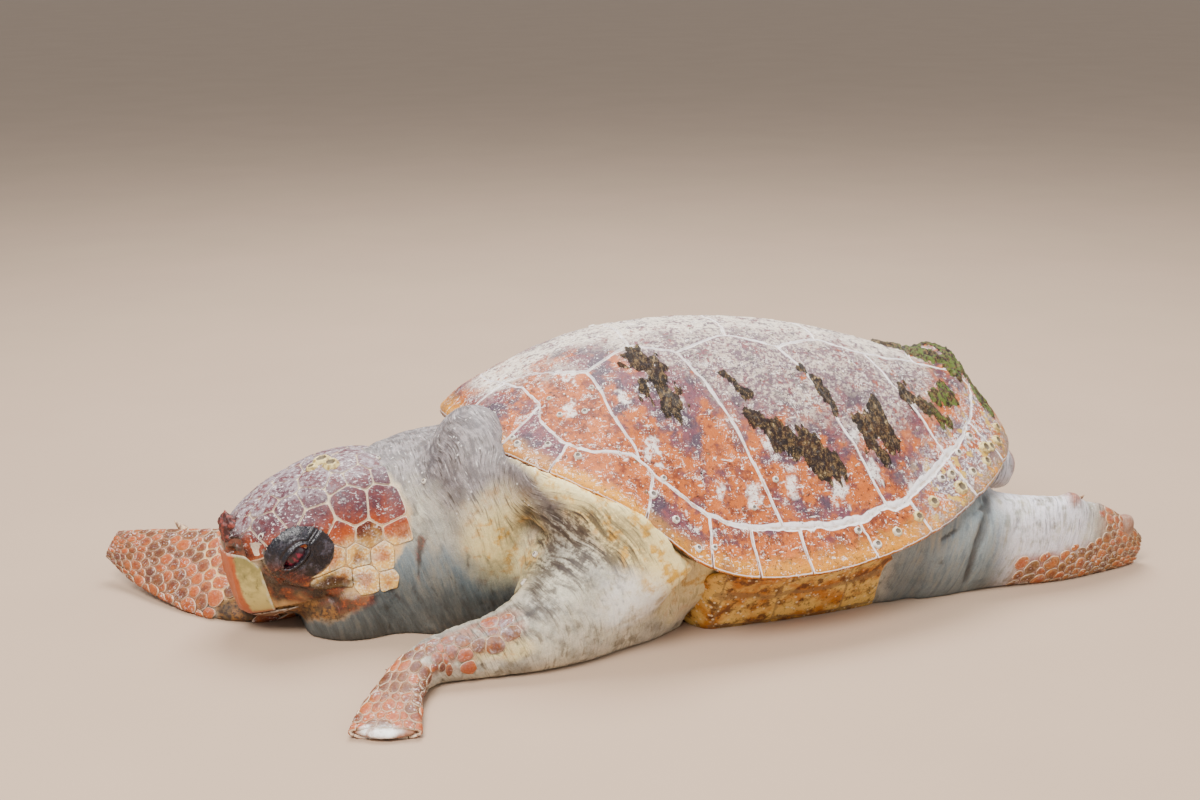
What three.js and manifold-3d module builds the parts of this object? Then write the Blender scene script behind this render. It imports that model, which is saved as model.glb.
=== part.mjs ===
// An adult loggerhead sea turtle at life size, lying on its plastron with the head low and forward.
// Millimetres, +Z up. The origin is the middle of the plastron's flat underside, on the floor. The head points
// along -X. The left side is at -Y.
// The carapace is 40 horny plates over a dome. The flesh is lofted along each part's own line, and then parted from
// its neighbours by thin cuts, so that every named part is one closed solid.
import * as THREE from "three";
import { mergeVertices } from "three/addons/utils/BufferGeometryUtils.js";
import Module from "manifold-3d";

const wasm = await Module();
wasm.setup();

// ---------------------------------------------------------------- driving dimensions
const cut = 0.4; // gap left between parted solids
const carapace = {
  front: 378, // how far it reaches ahead of its widest station, and behind it
  rear: 534,
  widestX: -72,
  halfWidth: 344,
  frontPower: 2.4, // superellipse powers of the outline before and behind that station
  rearPower: 2.1,
  domePower: 2.34, // how the dome falls from the crown to the rim
  domeEase: 1.33,
  thick: 10,
  under: 5, // the gap between the plates and the flesh below them
  seam: 1, // half the gap between two plates
  ring: 0.86, // where the marginal plates begin, as a share of the way out to the rim
  pitch: 4.4, // the swollen neck lifts the front of the shell
  roll: -5.3, // and the shell leans to its right
  pivotHeight: 200,
};
const rim = {
  at: [0, 0.2, 0.27, 0.33, 0.4, 0.5, 0.6, 0.75, 1],
  heights: [252, 184, 140, 103, 84, 83, 95, 132, 236],
};
const crown = { at: [0, 0.05, 0.25, 0.5, 0.75, 0.94, 1], heights: [252, 296, 380, 401, 365, 297, 236] };
// The last vertebral plate stands up in a hump that falls away steeply behind.
const hump = { x: 368, ahead: 62, behind: 24, across: 70, height: 34 };
// degrees round from the front
const marginalEdges = [9.5, 29, 45, 69, 83, 90.5, 98.5, 110, 122, 136, 151, 166, 180];
const costalEdges = [8, 65, 95.7, 117, 136.4, 166];
// Where the vertebral plates meet the costal ones: [share of the length, distance from the midline].
const vertebralSide = [
  [0.1, 85], [0.2, 128], [0.275, 95], [0.35, 120], [0.445, 88],
  [0.53, 112], [0.61, 78], [0.69, 92], [0.8, 74], [0.885, 68],
];

// ---------------------------------------------------------------- small helpers
const radians = THREE.MathUtils.degToRad;
const mix = THREE.MathUtils.lerp;
const power = (value, exponent) => Math.sign(value) * Math.abs(value) ** exponent;

// A smooth curve through values at uneven stations: cubic Hermite, with each slope from the neighbours.
function through(at, values, t) {
  const last = at.length - 1;
  let i = 0;
  while (i < last - 1 && t > at[i + 1]) i++;
  const slope = (k) => {
    const a = Math.max(k - 1, 0);
    const b = Math.min(k + 1, last);
    return (values[b] - values[a]) / (at[b] - at[a]);
  };
  const span = at[i + 1] - at[i];
  const s = THREE.MathUtils.clamp((t - at[i]) / span, 0, 1);
  const h = s * s * (3 - 2 * s);
  return (
    values[i] * (1 - h) + values[i + 1] * h +
    span * s * (1 - s) * ((1 - s) * slope(i) - s * slope(i + 1))
  );
}

// A closed solid from an indexed list of points and triangles.
function solidOf(points, triangles) {
  const geometry = new THREE.BufferGeometry();
  geometry.setAttribute("position", new THREE.Float32BufferAttribute(points.flat(), 3));
  geometry.setIndex(triangles.flat());
  return fromGeometry(geometry);
}

function fromGeometry(geometry, matrix = new THREE.Matrix4()) {
  const bare = geometry.clone().applyMatrix4(matrix);
  bare.deleteAttribute("normal");
  bare.deleteAttribute("uv");
  const merged = mergeVertices(bare, 1e-4);
  const made = new wasm.Manifold(
    new wasm.Mesh({
      numProp: 3,
      vertProperties: merged.attributes.position.array,
      triVerts: new Uint32Array(merged.index.array),
    }),
  );
  return made;
}

// The biggest closed body of a solid, which drops the slivers that a cut can leave.
function whole(solid) {
  return solid.decompose().reduce((best, body) => (body.volume() > best.volume() ? body : best));
}

const without = (solid, ...others) => whole(others.reduce((rest, other) => rest.subtract(other), solid));

// Two grids of the same size, one over the other, closed round the edge.
function slab(top, bottom) {
  const rows = top.length;
  const columns = top[0].length;
  const points = [...top.flat(), ...bottom.flat()];
  const under = rows * columns;
  const at = (i, j) => i * columns + j;
  const triangles = [];
  const quad = (a, b, c, d) => triangles.push([a, b, c], [a, c, d]);
  for (let i = 0; i < rows - 1; i++)
    for (let j = 0; j < columns - 1; j++) {
      quad(at(i, j), at(i + 1, j), at(i + 1, j + 1), at(i, j + 1));
      quad(under + at(i, j), under + at(i, j + 1), under + at(i + 1, j + 1), under + at(i + 1, j));
    }
  const edge = [];
  for (let j = 0; j < columns - 1; j++) edge.push(at(0, j));
  for (let i = 0; i < rows - 1; i++) edge.push(at(i, columns - 1));
  for (let j = columns - 1; j > 0; j--) edge.push(at(rows - 1, j));
  for (let i = rows - 1; i > 0; i--) edge.push(at(i, 0));
  edge.forEach((a, k) => {
    const b = edge[(k + 1) % edge.length];
    quad(a, b, under + b, under + a);
  });
  const made = solidOf(points, triangles);
  return made.volume() > 0 ? made : solidOf(points, triangles.map(([a, b, c]) => [a, c, b]));
}

const steps = (count, from = 0, to = 1) =>
  Array.from({ length: count + 1 }, (_, i) => mix(from, to, i / count));

// ---------------------------------------------------------------- the carapace's surface
const shellLength = carapace.front + carapace.rear;
const shellFront = carapace.widestX - carapace.front;
const shareAt = (x) => THREE.MathUtils.clamp((x - shellFront) / shellLength, 0, 1);

function halfWidthAt(x) {
  const ahead = x < carapace.widestX;
  const n = ahead ? carapace.frontPower : carapace.rearPower;
  const s = Math.min(Math.abs(x - carapace.widestX) / (ahead ? carapace.front : carapace.rear), 1);
  return carapace.halfWidth * (1 - s ** n) ** (1 / n);
}

const rimAt = (x) => through(rim.at, rim.heights, shareAt(x));

function domeAt(x, y) {
  const low = rimAt(x);
  const high = through(crown.at, crown.heights, shareAt(x));
  const v = Math.min(Math.abs(y) / Math.max(halfWidthAt(x), 1e-3), 1);
  const along = (x - hump.x) / (x < hump.x ? hump.ahead : hump.behind);
  const knob = hump.height * Math.exp(-(along ** 2) - (y / hump.across) ** 2);
  return low + (high - low) * (1 - v ** carapace.domePower) ** carapace.domeEase + knob;
}

// A point of the plan: an angle round from the front, on the left side, and a share of the way out to the rim.
function ringPoint(degrees, share) {
  const turn = radians(degrees);
  const n = degrees <= 90 ? carapace.frontPower : carapace.rearPower;
  const reach = degrees <= 90 ? carapace.front : carapace.rear;
  return [
    carapace.widestX - share * reach * power(Math.cos(turn), 2 / n),
    -share * carapace.halfWidth * power(Math.max(Math.sin(turn), 0), 2 / n),
  ];
}

const mirrored = ([x, y]) => [x, -y];

// A plan patch from its four edges, each a function from 0 to 1: bilinear blend, drawn in by the seam all round.
function planPatch(front, rear, left, right, rows, columns) {
  const length = Math.hypot(left(1)[0] - left(0)[0], left(1)[1] - left(0)[1]);
  const width = Math.hypot(front(1)[0] - front(0)[0], front(1)[1] - front(0)[1]);
  const rearWidth = Math.hypot(rear(1)[0] - rear(0)[0], rear(1)[1] - rear(0)[1]);
  const inA = carapace.seam / length;
  return steps(rows, inA, 1 - inA).map((a) => {
    const inB = carapace.seam / mix(width, rearWidth, a);
    return steps(columns, inB, 1 - inB).map((b) =>
      [0, 1].map(
        (k) =>
          mix(left(a)[k], right(a)[k], b) + mix(front(b)[k], rear(b)[k], a) -
          mix(mix(front(0)[k], front(1)[k], b), mix(rear(0)[k], rear(1)[k], b), a),
      ),
    );
  });
}

const line = (p, q) => (t) => [mix(p[0], q[0], t), mix(p[1], q[1], t)];
const bent = (p, q, r) => (t) => (t < 0.5 ? line(p, q)(2 * t) : line(q, r)(2 * t - 1));
const ringArc = (from, to, share) => (t) => ringPoint(mix(from, to, t), share);

// A plate of the dome: the patch on the surface, and the same patch one thickness lower.
function domePlate(plan) {
  return slab(
    plan.map((row) => row.map(([x, y]) => [x, y, domeAt(x, y)])),
    plan.map((row) => row.map(([x, y]) => [x, y, domeAt(x, y) - carapace.thick])),
  );
}

// A plate of the rim is a wedge with a level underside.
function rimPlate(plan) {
  return slab(
    plan.map((row) => row.map(([x, y]) => [x, y, domeAt(x, y)])),
    plan.map((row) => row.map(([x, y]) => [x, y, rimAt(x) - carapace.thick])),
  );
}

const sidePoint = (k) => [shellFront + vertebralSide[k][0] * shellLength, -vertebralSide[k][1]];
const { ring } = carapace;

function vertebralPlan(k) {
  const first = k === 0;
  const last = k === 4;
  const start = first ? ringPoint(costalEdges[0], ring) : sidePoint(2 * k);
  const end = last ? ringPoint(costalEdges[5], ring) : sidePoint(2 * k + 2);
  const across = (t, from) => (t < 0.5 ? ringPoint(mix(from, from < 90 ? 0 : 180, 2 * t), ring)
    : mirrored(ringPoint(mix(from < 90 ? 0 : 180, from, 2 * t - 1), ring)));
  const left = last ? bent(start, sidePoint(9), end) : bent(start, sidePoint(2 * k + 1), end);
  const nose = bent(start, sidePoint(0), sidePoint(1));
  const firstLeft = (t) => (t < 0.75 ? nose(t / 0.75) : line(sidePoint(1), end)(4 * t - 3));
  const side = first ? firstLeft : left;
  return planPatch(
    first ? (t) => across(t, costalEdges[0]) : line(start, mirrored(start)),
    last ? (t) => across(t, costalEdges[5]) : line(end, mirrored(end)),
    side,
    (t) => mirrored(side(t)),
    6,
    4,
  );
}

function costalPlan(k) {
  const corners = (k === 0 ? [0, 1] : [2 * k - 1, 2 * k, 2 * k + 1]).map(sidePoint);
  const inner = (k === 0 ? line : bent)(...corners);
  const outer = ringArc(costalEdges[k], costalEdges[k + 1], ring);
  return planPatch(line(inner(0), outer(0)), line(inner(1), outer(1)), inner, outer, 5, 4);
}

function marginalPlan(k) {
  const [from, to] = [marginalEdges[k], marginalEdges[k + 1]];
  const inner = ringArc(from, to, ring);
  const outer = ringArc(from, to, 1);
  return planPatch(line(inner(0), outer(0)), line(inner(1), outer(1)), inner, outer, 3, 2);
}

const nuchalAngle = (t) => marginalEdges[0] * Math.abs(2 * t - 1);
function nuchalEdge(share) {
  return (t) => {
    const p = ringPoint(nuchalAngle(t), share);
    return t < 0.5 ? p : mirrored(p);
  };
}
const nuchalPlan = planPatch(
  line(nuchalEdge(ring)(0), nuchalEdge(1)(0)), line(nuchalEdge(ring)(1), nuchalEdge(1)(1)),
  nuchalEdge(ring), nuchalEdge(1), 4, 2,
);

// The tilt of the shell, as a group of its own that holds the plates.
const shellGroup = new THREE.Group();
shellGroup.rotation.set(radians(carapace.roll), radians(carapace.pitch), 0, "YXZ");
shellGroup.position.copy(
  new THREE.Vector3(0, 0, carapace.pivotHeight).sub(
    new THREE.Vector3(0, 0, carapace.pivotHeight).applyEuler(shellGroup.rotation),
  ),
);
shellGroup.updateMatrix();
const tilted = (x, y, z) => new THREE.Vector3(x, y, z).applyMatrix4(shellGroup.matrix);

// All that lies above the underside of the plates, which no flesh may enter.
function shellSpace() {
  const high = 700;
  const around = 32;
  const rings = [0.35, 0.62, ring - 0.03, ring - 0.028, 1.004];
  const down = carapace.thick + carapace.under;
  const under = (x, y, share) => (share < ring - 0.029 ? domeAt(x, y) : rimAt(x)) - down;
  const points = [[carapace.widestX, 0, domeAt(carapace.widestX, 0) - down], [carapace.widestX, 0, high]];
  const triangles = [];
  for (const level of ["under", "over"])
    for (const share of rings)
      for (let i = 0; i < around; i++) {
        const degrees = (360 * i) / around;
        const p = degrees <= 180 ? ringPoint(degrees, share) : mirrored(ringPoint(360 - degrees, share));
        points.push([...p, level === "under" ? under(...p, share) : high]);
      }
  const at = (over, r, i) => 2 + (over * rings.length + r) * around + (i % around);
  for (let i = 0; i < around; i++) {
    triangles.push([0, at(0, 0, i), at(0, 0, i + 1)], [1, at(1, 0, i + 1), at(1, 0, i)]);
    for (let r = 0; r < rings.length - 1; r++)
      triangles.push(
        [at(0, r, i), at(0, r + 1, i), at(0, r + 1, i + 1)],
        [at(0, r, i), at(0, r + 1, i + 1), at(0, r, i + 1)],
        [at(1, r, i), at(1, r + 1, i + 1), at(1, r + 1, i)],
        [at(1, r, i), at(1, r, i + 1), at(1, r + 1, i + 1)],
      );
    const rimRow = rings.length - 1;
    triangles.push(
      [at(0, rimRow, i), at(1, rimRow, i), at(1, rimRow, i + 1)],
      [at(0, rimRow, i), at(1, rimRow, i + 1), at(0, rimRow, i + 1)],
    );
  }
  const made = solidOf(points, triangles);
  const outward = made.volume() > 0 ? made : solidOf(points, triangles.map(([a, b, c]) => [a, c, b]));
  return outward.transform(shellGroup.matrix.elements);
}

// ---------------------------------------------------------------- the plastron, with its bridges
const plastron = {
  front: -300, rear: 330, thick: 12,
  lobe: 200, // half the width of the lobes before and behind the bridges
  bridge: 0.9, // and of the bridges, as a share of the carapace's
  flat: 0.8, // the share of the half width that lies flat on the floor
  rise: 26, // how far the ends of the lobes lift
};
const bridgeShare = (share) =>
  THREE.MathUtils.smoothstep(share, 0.2, 0.3) * (1 - THREE.MathUtils.smoothstep(share, 0.7, 0.84));

function plastronHalf(share) {
  const x = mix(plastron.front, plastron.rear, share);
  const lobe = plastron.lobe * Math.sqrt(Math.max(1 - (2 * share - 1) ** 4, 0)) + 12;
  return mix(lobe, plastron.bridge * halfWidthAt(x), bridgeShare(share));
}

const plastronColumns = [-1, -0.94, -0.87, -0.8, -0.4, 0, 0.4, 0.8, 0.87, 0.94, 1];
function plastronGrid(raise) {
  return steps(10).map((share) => {
    const x = mix(plastron.front, plastron.rear, share);
    const half = plastronHalf(share);
    return plastronColumns.map((v) => {
      const rimPoint = tilted(x, Math.sign(v) * plastron.bridge * halfWidthAt(x), rimAt(x) - carapace.thick);
      const meets = rimPoint.z - plastron.thick - carapace.under - 3;
      const up = THREE.MathUtils.smoothstep(Math.abs(v), plastron.flat, 1);
      const ends = plastron.rise * Math.max(Math.abs(2 * share - 1) - 0.8, 0) * 5;
      return [x, v * half, mix(14, meets, bridgeShare(share)) * up + ends + raise];
    });
  });
}

// ---------------------------------------------------------------- the flesh
// A closed solid along a line of centres. Each section is a superellipse: `wide` to each side, `up` and `down`
// across it, turned by `roll` degrees about the line. Both ends draw in to a point.
function loft(sections, { along = 12, around = 16, grow = 0, power: n = 2.3, frame, upright } = {}) {
  const keys = sections.map((_, i) => i);
  const value = (name, t, fallback = 0) => through(keys, sections.map((s) => s[name] ?? fallback), t);
  const path = [0, 1, 2].map((k) => sections.map((s) => s.at[k]));
  const centre = (t) => new THREE.Vector3(...path.map((values) => through(keys, values, t)));
  const last = sections.length - 1;
  const rows = steps(along, 0, last).map((t) => {
    const forward = centre(Math.min(t + 0.05, last)).sub(centre(Math.max(t - 0.05, 0)));
    if (upright) forward.z = 0;
    forward.normalize();
    const side = new THREE.Vector3(0, 0, 1).cross(forward).normalize();
    side.applyAxisAngle(forward, radians(value("roll", t)));
    const upward = new THREE.Vector3().crossVectors(forward, side);
    const middle = centre(t);
    return steps(around - 1, 0, (2 * Math.PI * (around - 1)) / around).map((turn) => {
      const lateral = power(Math.cos(turn), 2 / n) * (value("wide", t) + grow);
      const rise = (Math.sin(turn) > 0 ? value("up", t) : value("down", t)) + grow;
      const upwards = power(Math.sin(turn), 2 / n) * rise;
      return middle.clone().addScaledVector(side, lateral).addScaledVector(upward, upwards).toArray();
    });
  });
  const ends = [0, last].map((t) => {
    const toward = centre(t).sub(centre(t === 0 ? 0.3 : last - 0.3)).normalize();
    return centre(t).addScaledVector(toward, (sections[t].cap ?? 4) + grow).toArray();
  });
  const points = [...rows.flat(), ...ends];
  const at = (i, j) => i * around + (j % around);
  const triangles = [];
  for (let j = 0; j < around; j++) {
    triangles.push([points.length - 2, at(0, j + 1), at(0, j)]);
    triangles.push([points.length - 1, at(along, j), at(along, j + 1)]);
    for (let i = 0; i < along; i++)
      triangles.push([at(i, j), at(i, j + 1), at(i + 1, j + 1)], [at(i, j), at(i + 1, j + 1), at(i + 1, j)]);
  }
  const made = solidOf(points, triangles);
  const outward = made.volume() > 0 ? made : solidOf(points, triangles.map(([a, b, c]) => [a, c, b]));
  return frame ? outward.transform(frame.elements) : outward;
}

const trunkLine = [
  { at: [-345, -5, 155], wide: 205, up: 110, down: 160, cap: 20 },
  { at: [-300, -5, 155], wide: 262, up: 130, down: 175 },
  { at: [-200, 0, 150], wide: 294, up: 170, down: 185 },
  { at: [-60, 0, 150], wide: 292, up: 200, down: 185 },
  { at: [80, 0, 150], wide: 276, up: 200, down: 210 },
  { at: [200, 0, 150], wide: 270, up: 180, down: 260 },
  { at: [310, 0, 145], wide: 236, up: 130, down: 185 },
  { at: [385, 0, 140], wide: 150, up: 90, down: 130, cap: 20 },
];
const neckLine = [
  { at: [-250, 0, 145], wide: 200, up: 120, down: 190, cap: 20 },
  { at: [-330, -8, 145], wide: 205, up: 120, down: 195 },
  { at: [-410, -15, 143], wide: 198, up: 118, down: 200 },
  { at: [-480, -22, 138], wide: 182, up: 122, down: 200 },
  { at: [-525, -26, 122], wide: 156, up: 132, down: 190 },
  { at: [-560, -30, 84], wide: 126, up: 160, down: 150 },
  { at: [-600, -32, 58], wide: 132, up: 90, down: 105 },
  { at: [-640, -33, 44], wide: 122, up: 50, down: 80 },
  { at: [-676, -33, 34], wide: 88, up: 22, down: 60, cap: 12 },
];
// The neck swells up over the left front edge of the shell.
const swell = { at: [-424, -108, 181], reach: [82, 120, 146] };
// The head's own frame: from the middle of the back of the skull towards the snout along -X.
const headFrame = new THREE.Matrix4()
  .makeRotationFromEuler(new THREE.Euler(0, radians(-10), radians(6), "ZYX"))
  .setPosition(-520, -32, 150);
const headLine = [
  { at: [10, 0, 0], wide: 76, up: 92, down: 84, cap: 14 },
  { at: [-45, 0, 0], wide: 98, up: 114, down: 100 },
  { at: [-100, 0, 0], wide: 106, up: 118, down: 104 },
  { at: [-150, 0, 0], wide: 103, up: 108, down: 100 },
  { at: [-190, 0, 0], wide: 89, up: 98, down: 95 },
  { at: [-222, 0, 0], wide: 69, up: 84, down: 90 },
  { at: [-250, 0, 0], wide: 49, up: 66, down: 82 },
  { at: [-267, 0, 0], wide: 33, up: 46, down: 68, cap: 6 },
];
const lid = { at: [-172, 82, 24], reach: [52, 27, 43] }; // the swollen lids round an eye
const eye = { at: [-178, 90, 20], reach: [26, 21, 22] };
// A point of the mouth's line, its slope and its back end.
const mouth = { at: [-150, -57], slope: 8.3, corner: -58 };
const beak = { at: [-214, 20], slope: -12 }; // the upper back corner of the upper beak
const frontLeftLine = [
  { at: [-225, -190, 125], wide: 112, up: 100, down: 175, cap: 16 },
  { at: [-285, -237, 100], wide: 102, up: 95, down: 140 },
  { at: [-340, -275, 72], wide: 78, up: 72, down: 95 },
  { at: [-390, -296, 54], wide: 58, up: 50, down: 66 },
  { at: [-440, -300, 42], wide: 48, up: 38, down: 50 },
  { at: [-490, -303, 37], wide: 42, up: 32, down: 44 },
  { at: [-530, -310, 33], wide: 35, up: 27, down: 39 },
  { at: [-562, -337, 28], wide: 31, up: 20, down: 32 },
  { at: [-589, -380, 21], wide: 35, up: 15, down: 25 },
  { at: [-608, -425, 15], wide: 43, up: 11, down: 18 },
  { at: [-621, -468, 10], wide: 48, up: 8, down: 12, cap: 24 },
];
// A roll of skin lies along the rim of the shell, from the swelling to the bridge.
const collarLine = [
  { at: [-418, -128, 262], wide: 22, up: 26, down: 60, cap: 10 },
  { at: [-386, -198, 256], wide: 26, up: 27, down: 66 },
  { at: [-346, -250, 242], wide: 27, up: 27, down: 70 },
  { at: [-298, -285, 224], wide: 27, up: 27, down: 78 },
  { at: [-248, -310, 202], wide: 26, up: 26, down: 98 },
  { at: [-202, -325, 166], wide: 24, up: 25, down: 112 },
  { at: [-160, -328, 126], wide: 18, up: 22, down: 98, cap: 12 },
];
const frontRightLine = [
  { at: [-230, 170, 125], wide: 105, up: 100, down: 150, cap: 16 },
  { at: [-310, 225, 100], wide: 95, up: 90, down: 115 },
  { at: [-400, 235, 75], wide: 72, up: 66, down: 84 },
  { at: [-490, 205, 58], wide: 58, up: 50, down: 64 },
  { at: [-570, 140, 50], wide: 58, up: 40, down: 54, roll: -8 },
  { at: [-650, 65, 46], wide: 74, up: 28, down: 36, roll: -20 },
  { at: [-730, 32, 46], wide: 84, up: 20, down: 24, roll: -32 },
  { at: [-795, 62, 51], wide: 75, up: 15, down: 17, roll: -42 },
  { at: [-850, 114, 51], wide: 60, up: 12, down: 13, roll: -46 },
  { at: [-902, 174, 51], wide: 43, up: 9, down: 10, roll: -50 },
  { at: [-943, 216, 57], wide: 23, up: 6, down: 6, roll: -50, cap: 18 },
];
const hindLeftLine = [
  { at: [240, -170, 95], wide: 95, up: 74, down: 130, cap: 16 },
  { at: [320, -182, 88], wide: 80, up: 66, down: 110 },
  { at: [400, -200, 76], wide: 56, up: 62, down: 86 },
  { at: [470, -212, 68], wide: 36, up: 66, down: 76 },
  { at: [530, -210, 58], wide: 24, up: 58, down: 64 },
  { at: [585, -202, 42], wide: 15, up: 40, down: 46 },
  { at: [630, -190, 24], wide: 9, up: 20, down: 26, cap: 16 },
];
const hindRightLine = [
  { at: [240, 150, 95], wide: 90, up: 80, down: 130, cap: 16 },
  { at: [310, 182, 84], wide: 78, up: 74, down: 106 },
  { at: [370, 222, 62], wide: 64, up: 54, down: 72 },
  { at: [420, 268, 40], wide: 60, up: 34, down: 46 },
  { at: [462, 318, 22], wide: 56, up: 18, down: 26 },
  { at: [490, 362, 12], wide: 42, up: 9, down: 14, cap: 12 },
];
const tailLine = [
  { at: [350, -5, 150], wide: 60, up: 55, down: 62, cap: 10 },
  { at: [410, -12, 140], wide: 58, up: 48, down: 54 },
  { at: [455, -18, 128], wide: 48, up: 42, down: 42 },
  { at: [485, -20, 120], wide: 32, up: 32, down: 34, cap: 14 },
];

// The floor: all below it is taken off, which leaves small flats at one level.
const below = fromGeometry(new THREE.BoxGeometry(3000, 3000, 400).translate(0, 0, -200));
const aboveShell = shellSpace();
const plastronSolid = slab(plastronGrid(plastron.thick), plastronGrid(0));
const plastronSpace = slab(plastronGrid(plastron.thick + cut), plastronGrid(-60));

const neighbours = {}; // each flesh part, grown by the gap, to cut the parts after it
const flesh = {};
function part(name, sections, options, ...cutters) {
  const cutBy = [below, aboveShell, plastronSpace, ...cutters.map((n) => neighbours[n])];
  flesh[name] = without(loft(sections, options), ...cutBy);
  neighbours[name] = loft(sections, { ...options, grow: cut });
}

part("trunk", trunkLine, { along: 8, around: 16 });

// The head is one form, with its swollen lids, that the eyes, the beak and the lower jaw are then parted from.
const ball = ({ at: [x, y, z], reach: [a, b, c] }, side, grow = 0, frame = headFrame) =>
  fromGeometry(
    new THREE.SphereGeometry(1, 12, 8).scale(a + grow, b + grow, c + grow).translate(x, side * y, z),
    frame,
  );
const block = (x0, x1, z0, z1, [atX, atZ], slope) =>
  fromGeometry(
    new THREE.BoxGeometry(x1 - x0, 400, z1 - z0).translate((x0 + x1) / 2, 0, (z0 + z1) / 2),
    headFrame.clone().multiply(new THREE.Matrix4().makeRotationY(radians(-slope)).setPosition(atX, 0, atZ)),
  );

const skull = (grow) =>
  [-1, 1].reduce(
    (whole, side) => whole.add(ball(lid, side, grow)),
    loft(headLine, { along: 9, around: 18, power: 2.5, frame: headFrame, grow }),
  );
const headForm = skull(0).subtract(below);
neighbours.head = skull(cut);
const mouthBack = mouth.corner - mouth.at[0];
const jawBlock = (grow) => block(-300, mouthBack + grow, -300, grow, mouth.at, mouth.slope);
const beakBlock = (grow) => block(-300, grow, -300, grow, beak.at, beak.slope);
const balls = (grow) => [ball(eye, -1, grow), ball(eye, 1, grow)];
flesh.lower_jaw = whole(headForm.intersect(jawBlock(0)));
flesh.beak = without(headForm.intersect(beakBlock(0)), jawBlock(cut));
flesh.head = without(headForm, jawBlock(cut), beakBlock(cut), ...balls(cut));
[flesh.eye_right, flesh.eye_left] = balls(0).reverse();

part("flipper_front_right", frontRightLine, { along: 15, around: 12 }, "trunk", "head");
const swellBall = (grow) => ball(swell, 1, grow, new THREE.Matrix4());
part("neck", neckLine, { along: 8, around: 16, upright: true }, "trunk", "head", "flipper_front_right");
flesh.neck = flesh.neck.add(without(swellBall(0), neighbours.trunk, neighbours.head));
neighbours.neck = neighbours.neck.add(swellBall(cut));
part("flipper_front_left", frontLeftLine, { along: 16, around: 12 }, "trunk", "neck");
const collarCutters = [below, aboveShell, plastronSpace, neighbours.trunk, neighbours.neck];
const collarSolid = without(loft(collarLine, { along: 6, around: 8 }), ...collarCutters);
flesh.flipper_front_left = flesh.flipper_front_left.add(collarSolid);
part("flipper_hind_left", hindLeftLine, { along: 10, around: 12 }, "trunk");
part("flipper_hind_right", hindRightLine, { along: 9, around: 12 }, "trunk");
part("tail", tailLine, { along: 5, around: 10 }, "trunk", "flipper_hind_left", "flipper_hind_right");

// One small hooked claw stands on the leading edge of each flipper.
const claws = {
  claw_front_left: { at: [-584, -330, 26], turn: [0, -75, 30], on: "flipper_front_left" },
  claw_front_right: { at: [-838, 166, 90], turn: [-30, -50, 0], on: "flipper_front_right" },
  claw_hind_left: { at: [502, -211, 122], turn: [0, 45, 0], on: "flipper_hind_left" },
  claw_hind_right: { at: [414, 326, 34], turn: [-70, 0, 0], on: "flipper_hind_right" },
};
for (const name in claws) {
  const { at, turn, on } = claws[name];
  const frame = new THREE.Matrix4().makeRotationFromEuler(new THREE.Euler(...turn.map(radians)));
  frame.setPosition(...at);
  const cone = new THREE.ConeGeometry(7, 24, 8).rotateX(Math.PI / 2).translate(0, 0, 4);
  flesh[name] = without(fromGeometry(cone, frame), neighbours[on], below);
}

// ---------------------------------------------------------------- the scene
const finishes = {
  skin: new THREE.MeshStandardMaterial({ color: 0x9a948f, roughness: 0.6 }),
  headScales: new THREE.MeshStandardMaterial({ color: 0x9a5a48, roughness: 0.5 }),
  plate: new THREE.MeshStandardMaterial({ color: 0xa85a3c, roughness: 0.55 }),
  belly: new THREE.MeshStandardMaterial({ color: 0xc8924a, roughness: 0.6 }),
};

function meshOf(name, solid, finish) {
  const { vertProperties, triVerts, numProp, numVert } = solid.getMesh();
  const position = new Float32Array(numVert * 3);
  for (let i = 0; i < numVert; i++)
    position.set(vertProperties.subarray(i * numProp, i * numProp + 3), i * 3);
  const geometry = new THREE.BufferGeometry();
  geometry.setAttribute("position", new THREE.BufferAttribute(position, 3));
  geometry.setIndex(new THREE.BufferAttribute(triVerts, 1));
  geometry.computeVertexNormals();
  const mesh = new THREE.Mesh(geometry, finish);
  mesh.name = name;
  return mesh;
}

const turtle = new THREE.Group();
turtle.add(shellGroup);
const swellSpace = swellBall(cut).transform(shellGroup.matrix.clone().invert().elements);

// The nuchal and the first marginals stop short where the neck swells over them.
function addPlate(name, solid) {
  const touched = solid.intersect(swellSpace).volume() > 0;
  shellGroup.add(meshOf(name, touched ? without(solid, swellSpace) : solid, finishes.plate));
}

addPlate("nuchal", rimPlate(nuchalPlan));
for (let k = 0; k < 5; k++) {
  const plan = costalPlan(k);
  addPlate(`vertebral_${k + 1}`, domePlate(vertebralPlan(k)));
  addPlate(`costal_left_${k + 1}`, domePlate(plan));
  addPlate(`costal_right_${k + 1}`, domePlate(plan.map((row) => row.map(mirrored))));
}
for (let k = 0; k < 12; k++) {
  const plan = marginalPlan(k);
  addPlate(`marginal_left_${k + 1}`, rimPlate(plan));
  addPlate(`marginal_right_${k + 1}`, rimPlate(plan.map((row) => row.map(mirrored))));
}
turtle.add(meshOf("plastron", plastronSolid, finishes.belly));
for (const name in flesh)
  turtle.add(meshOf(name, flesh[name], name === "head" ? finishes.headScales : finishes.skin));

export default turtle;
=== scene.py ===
import math
import bpy
import numpy as np
from functools import reduce
from mathutils import Matrix


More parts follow.
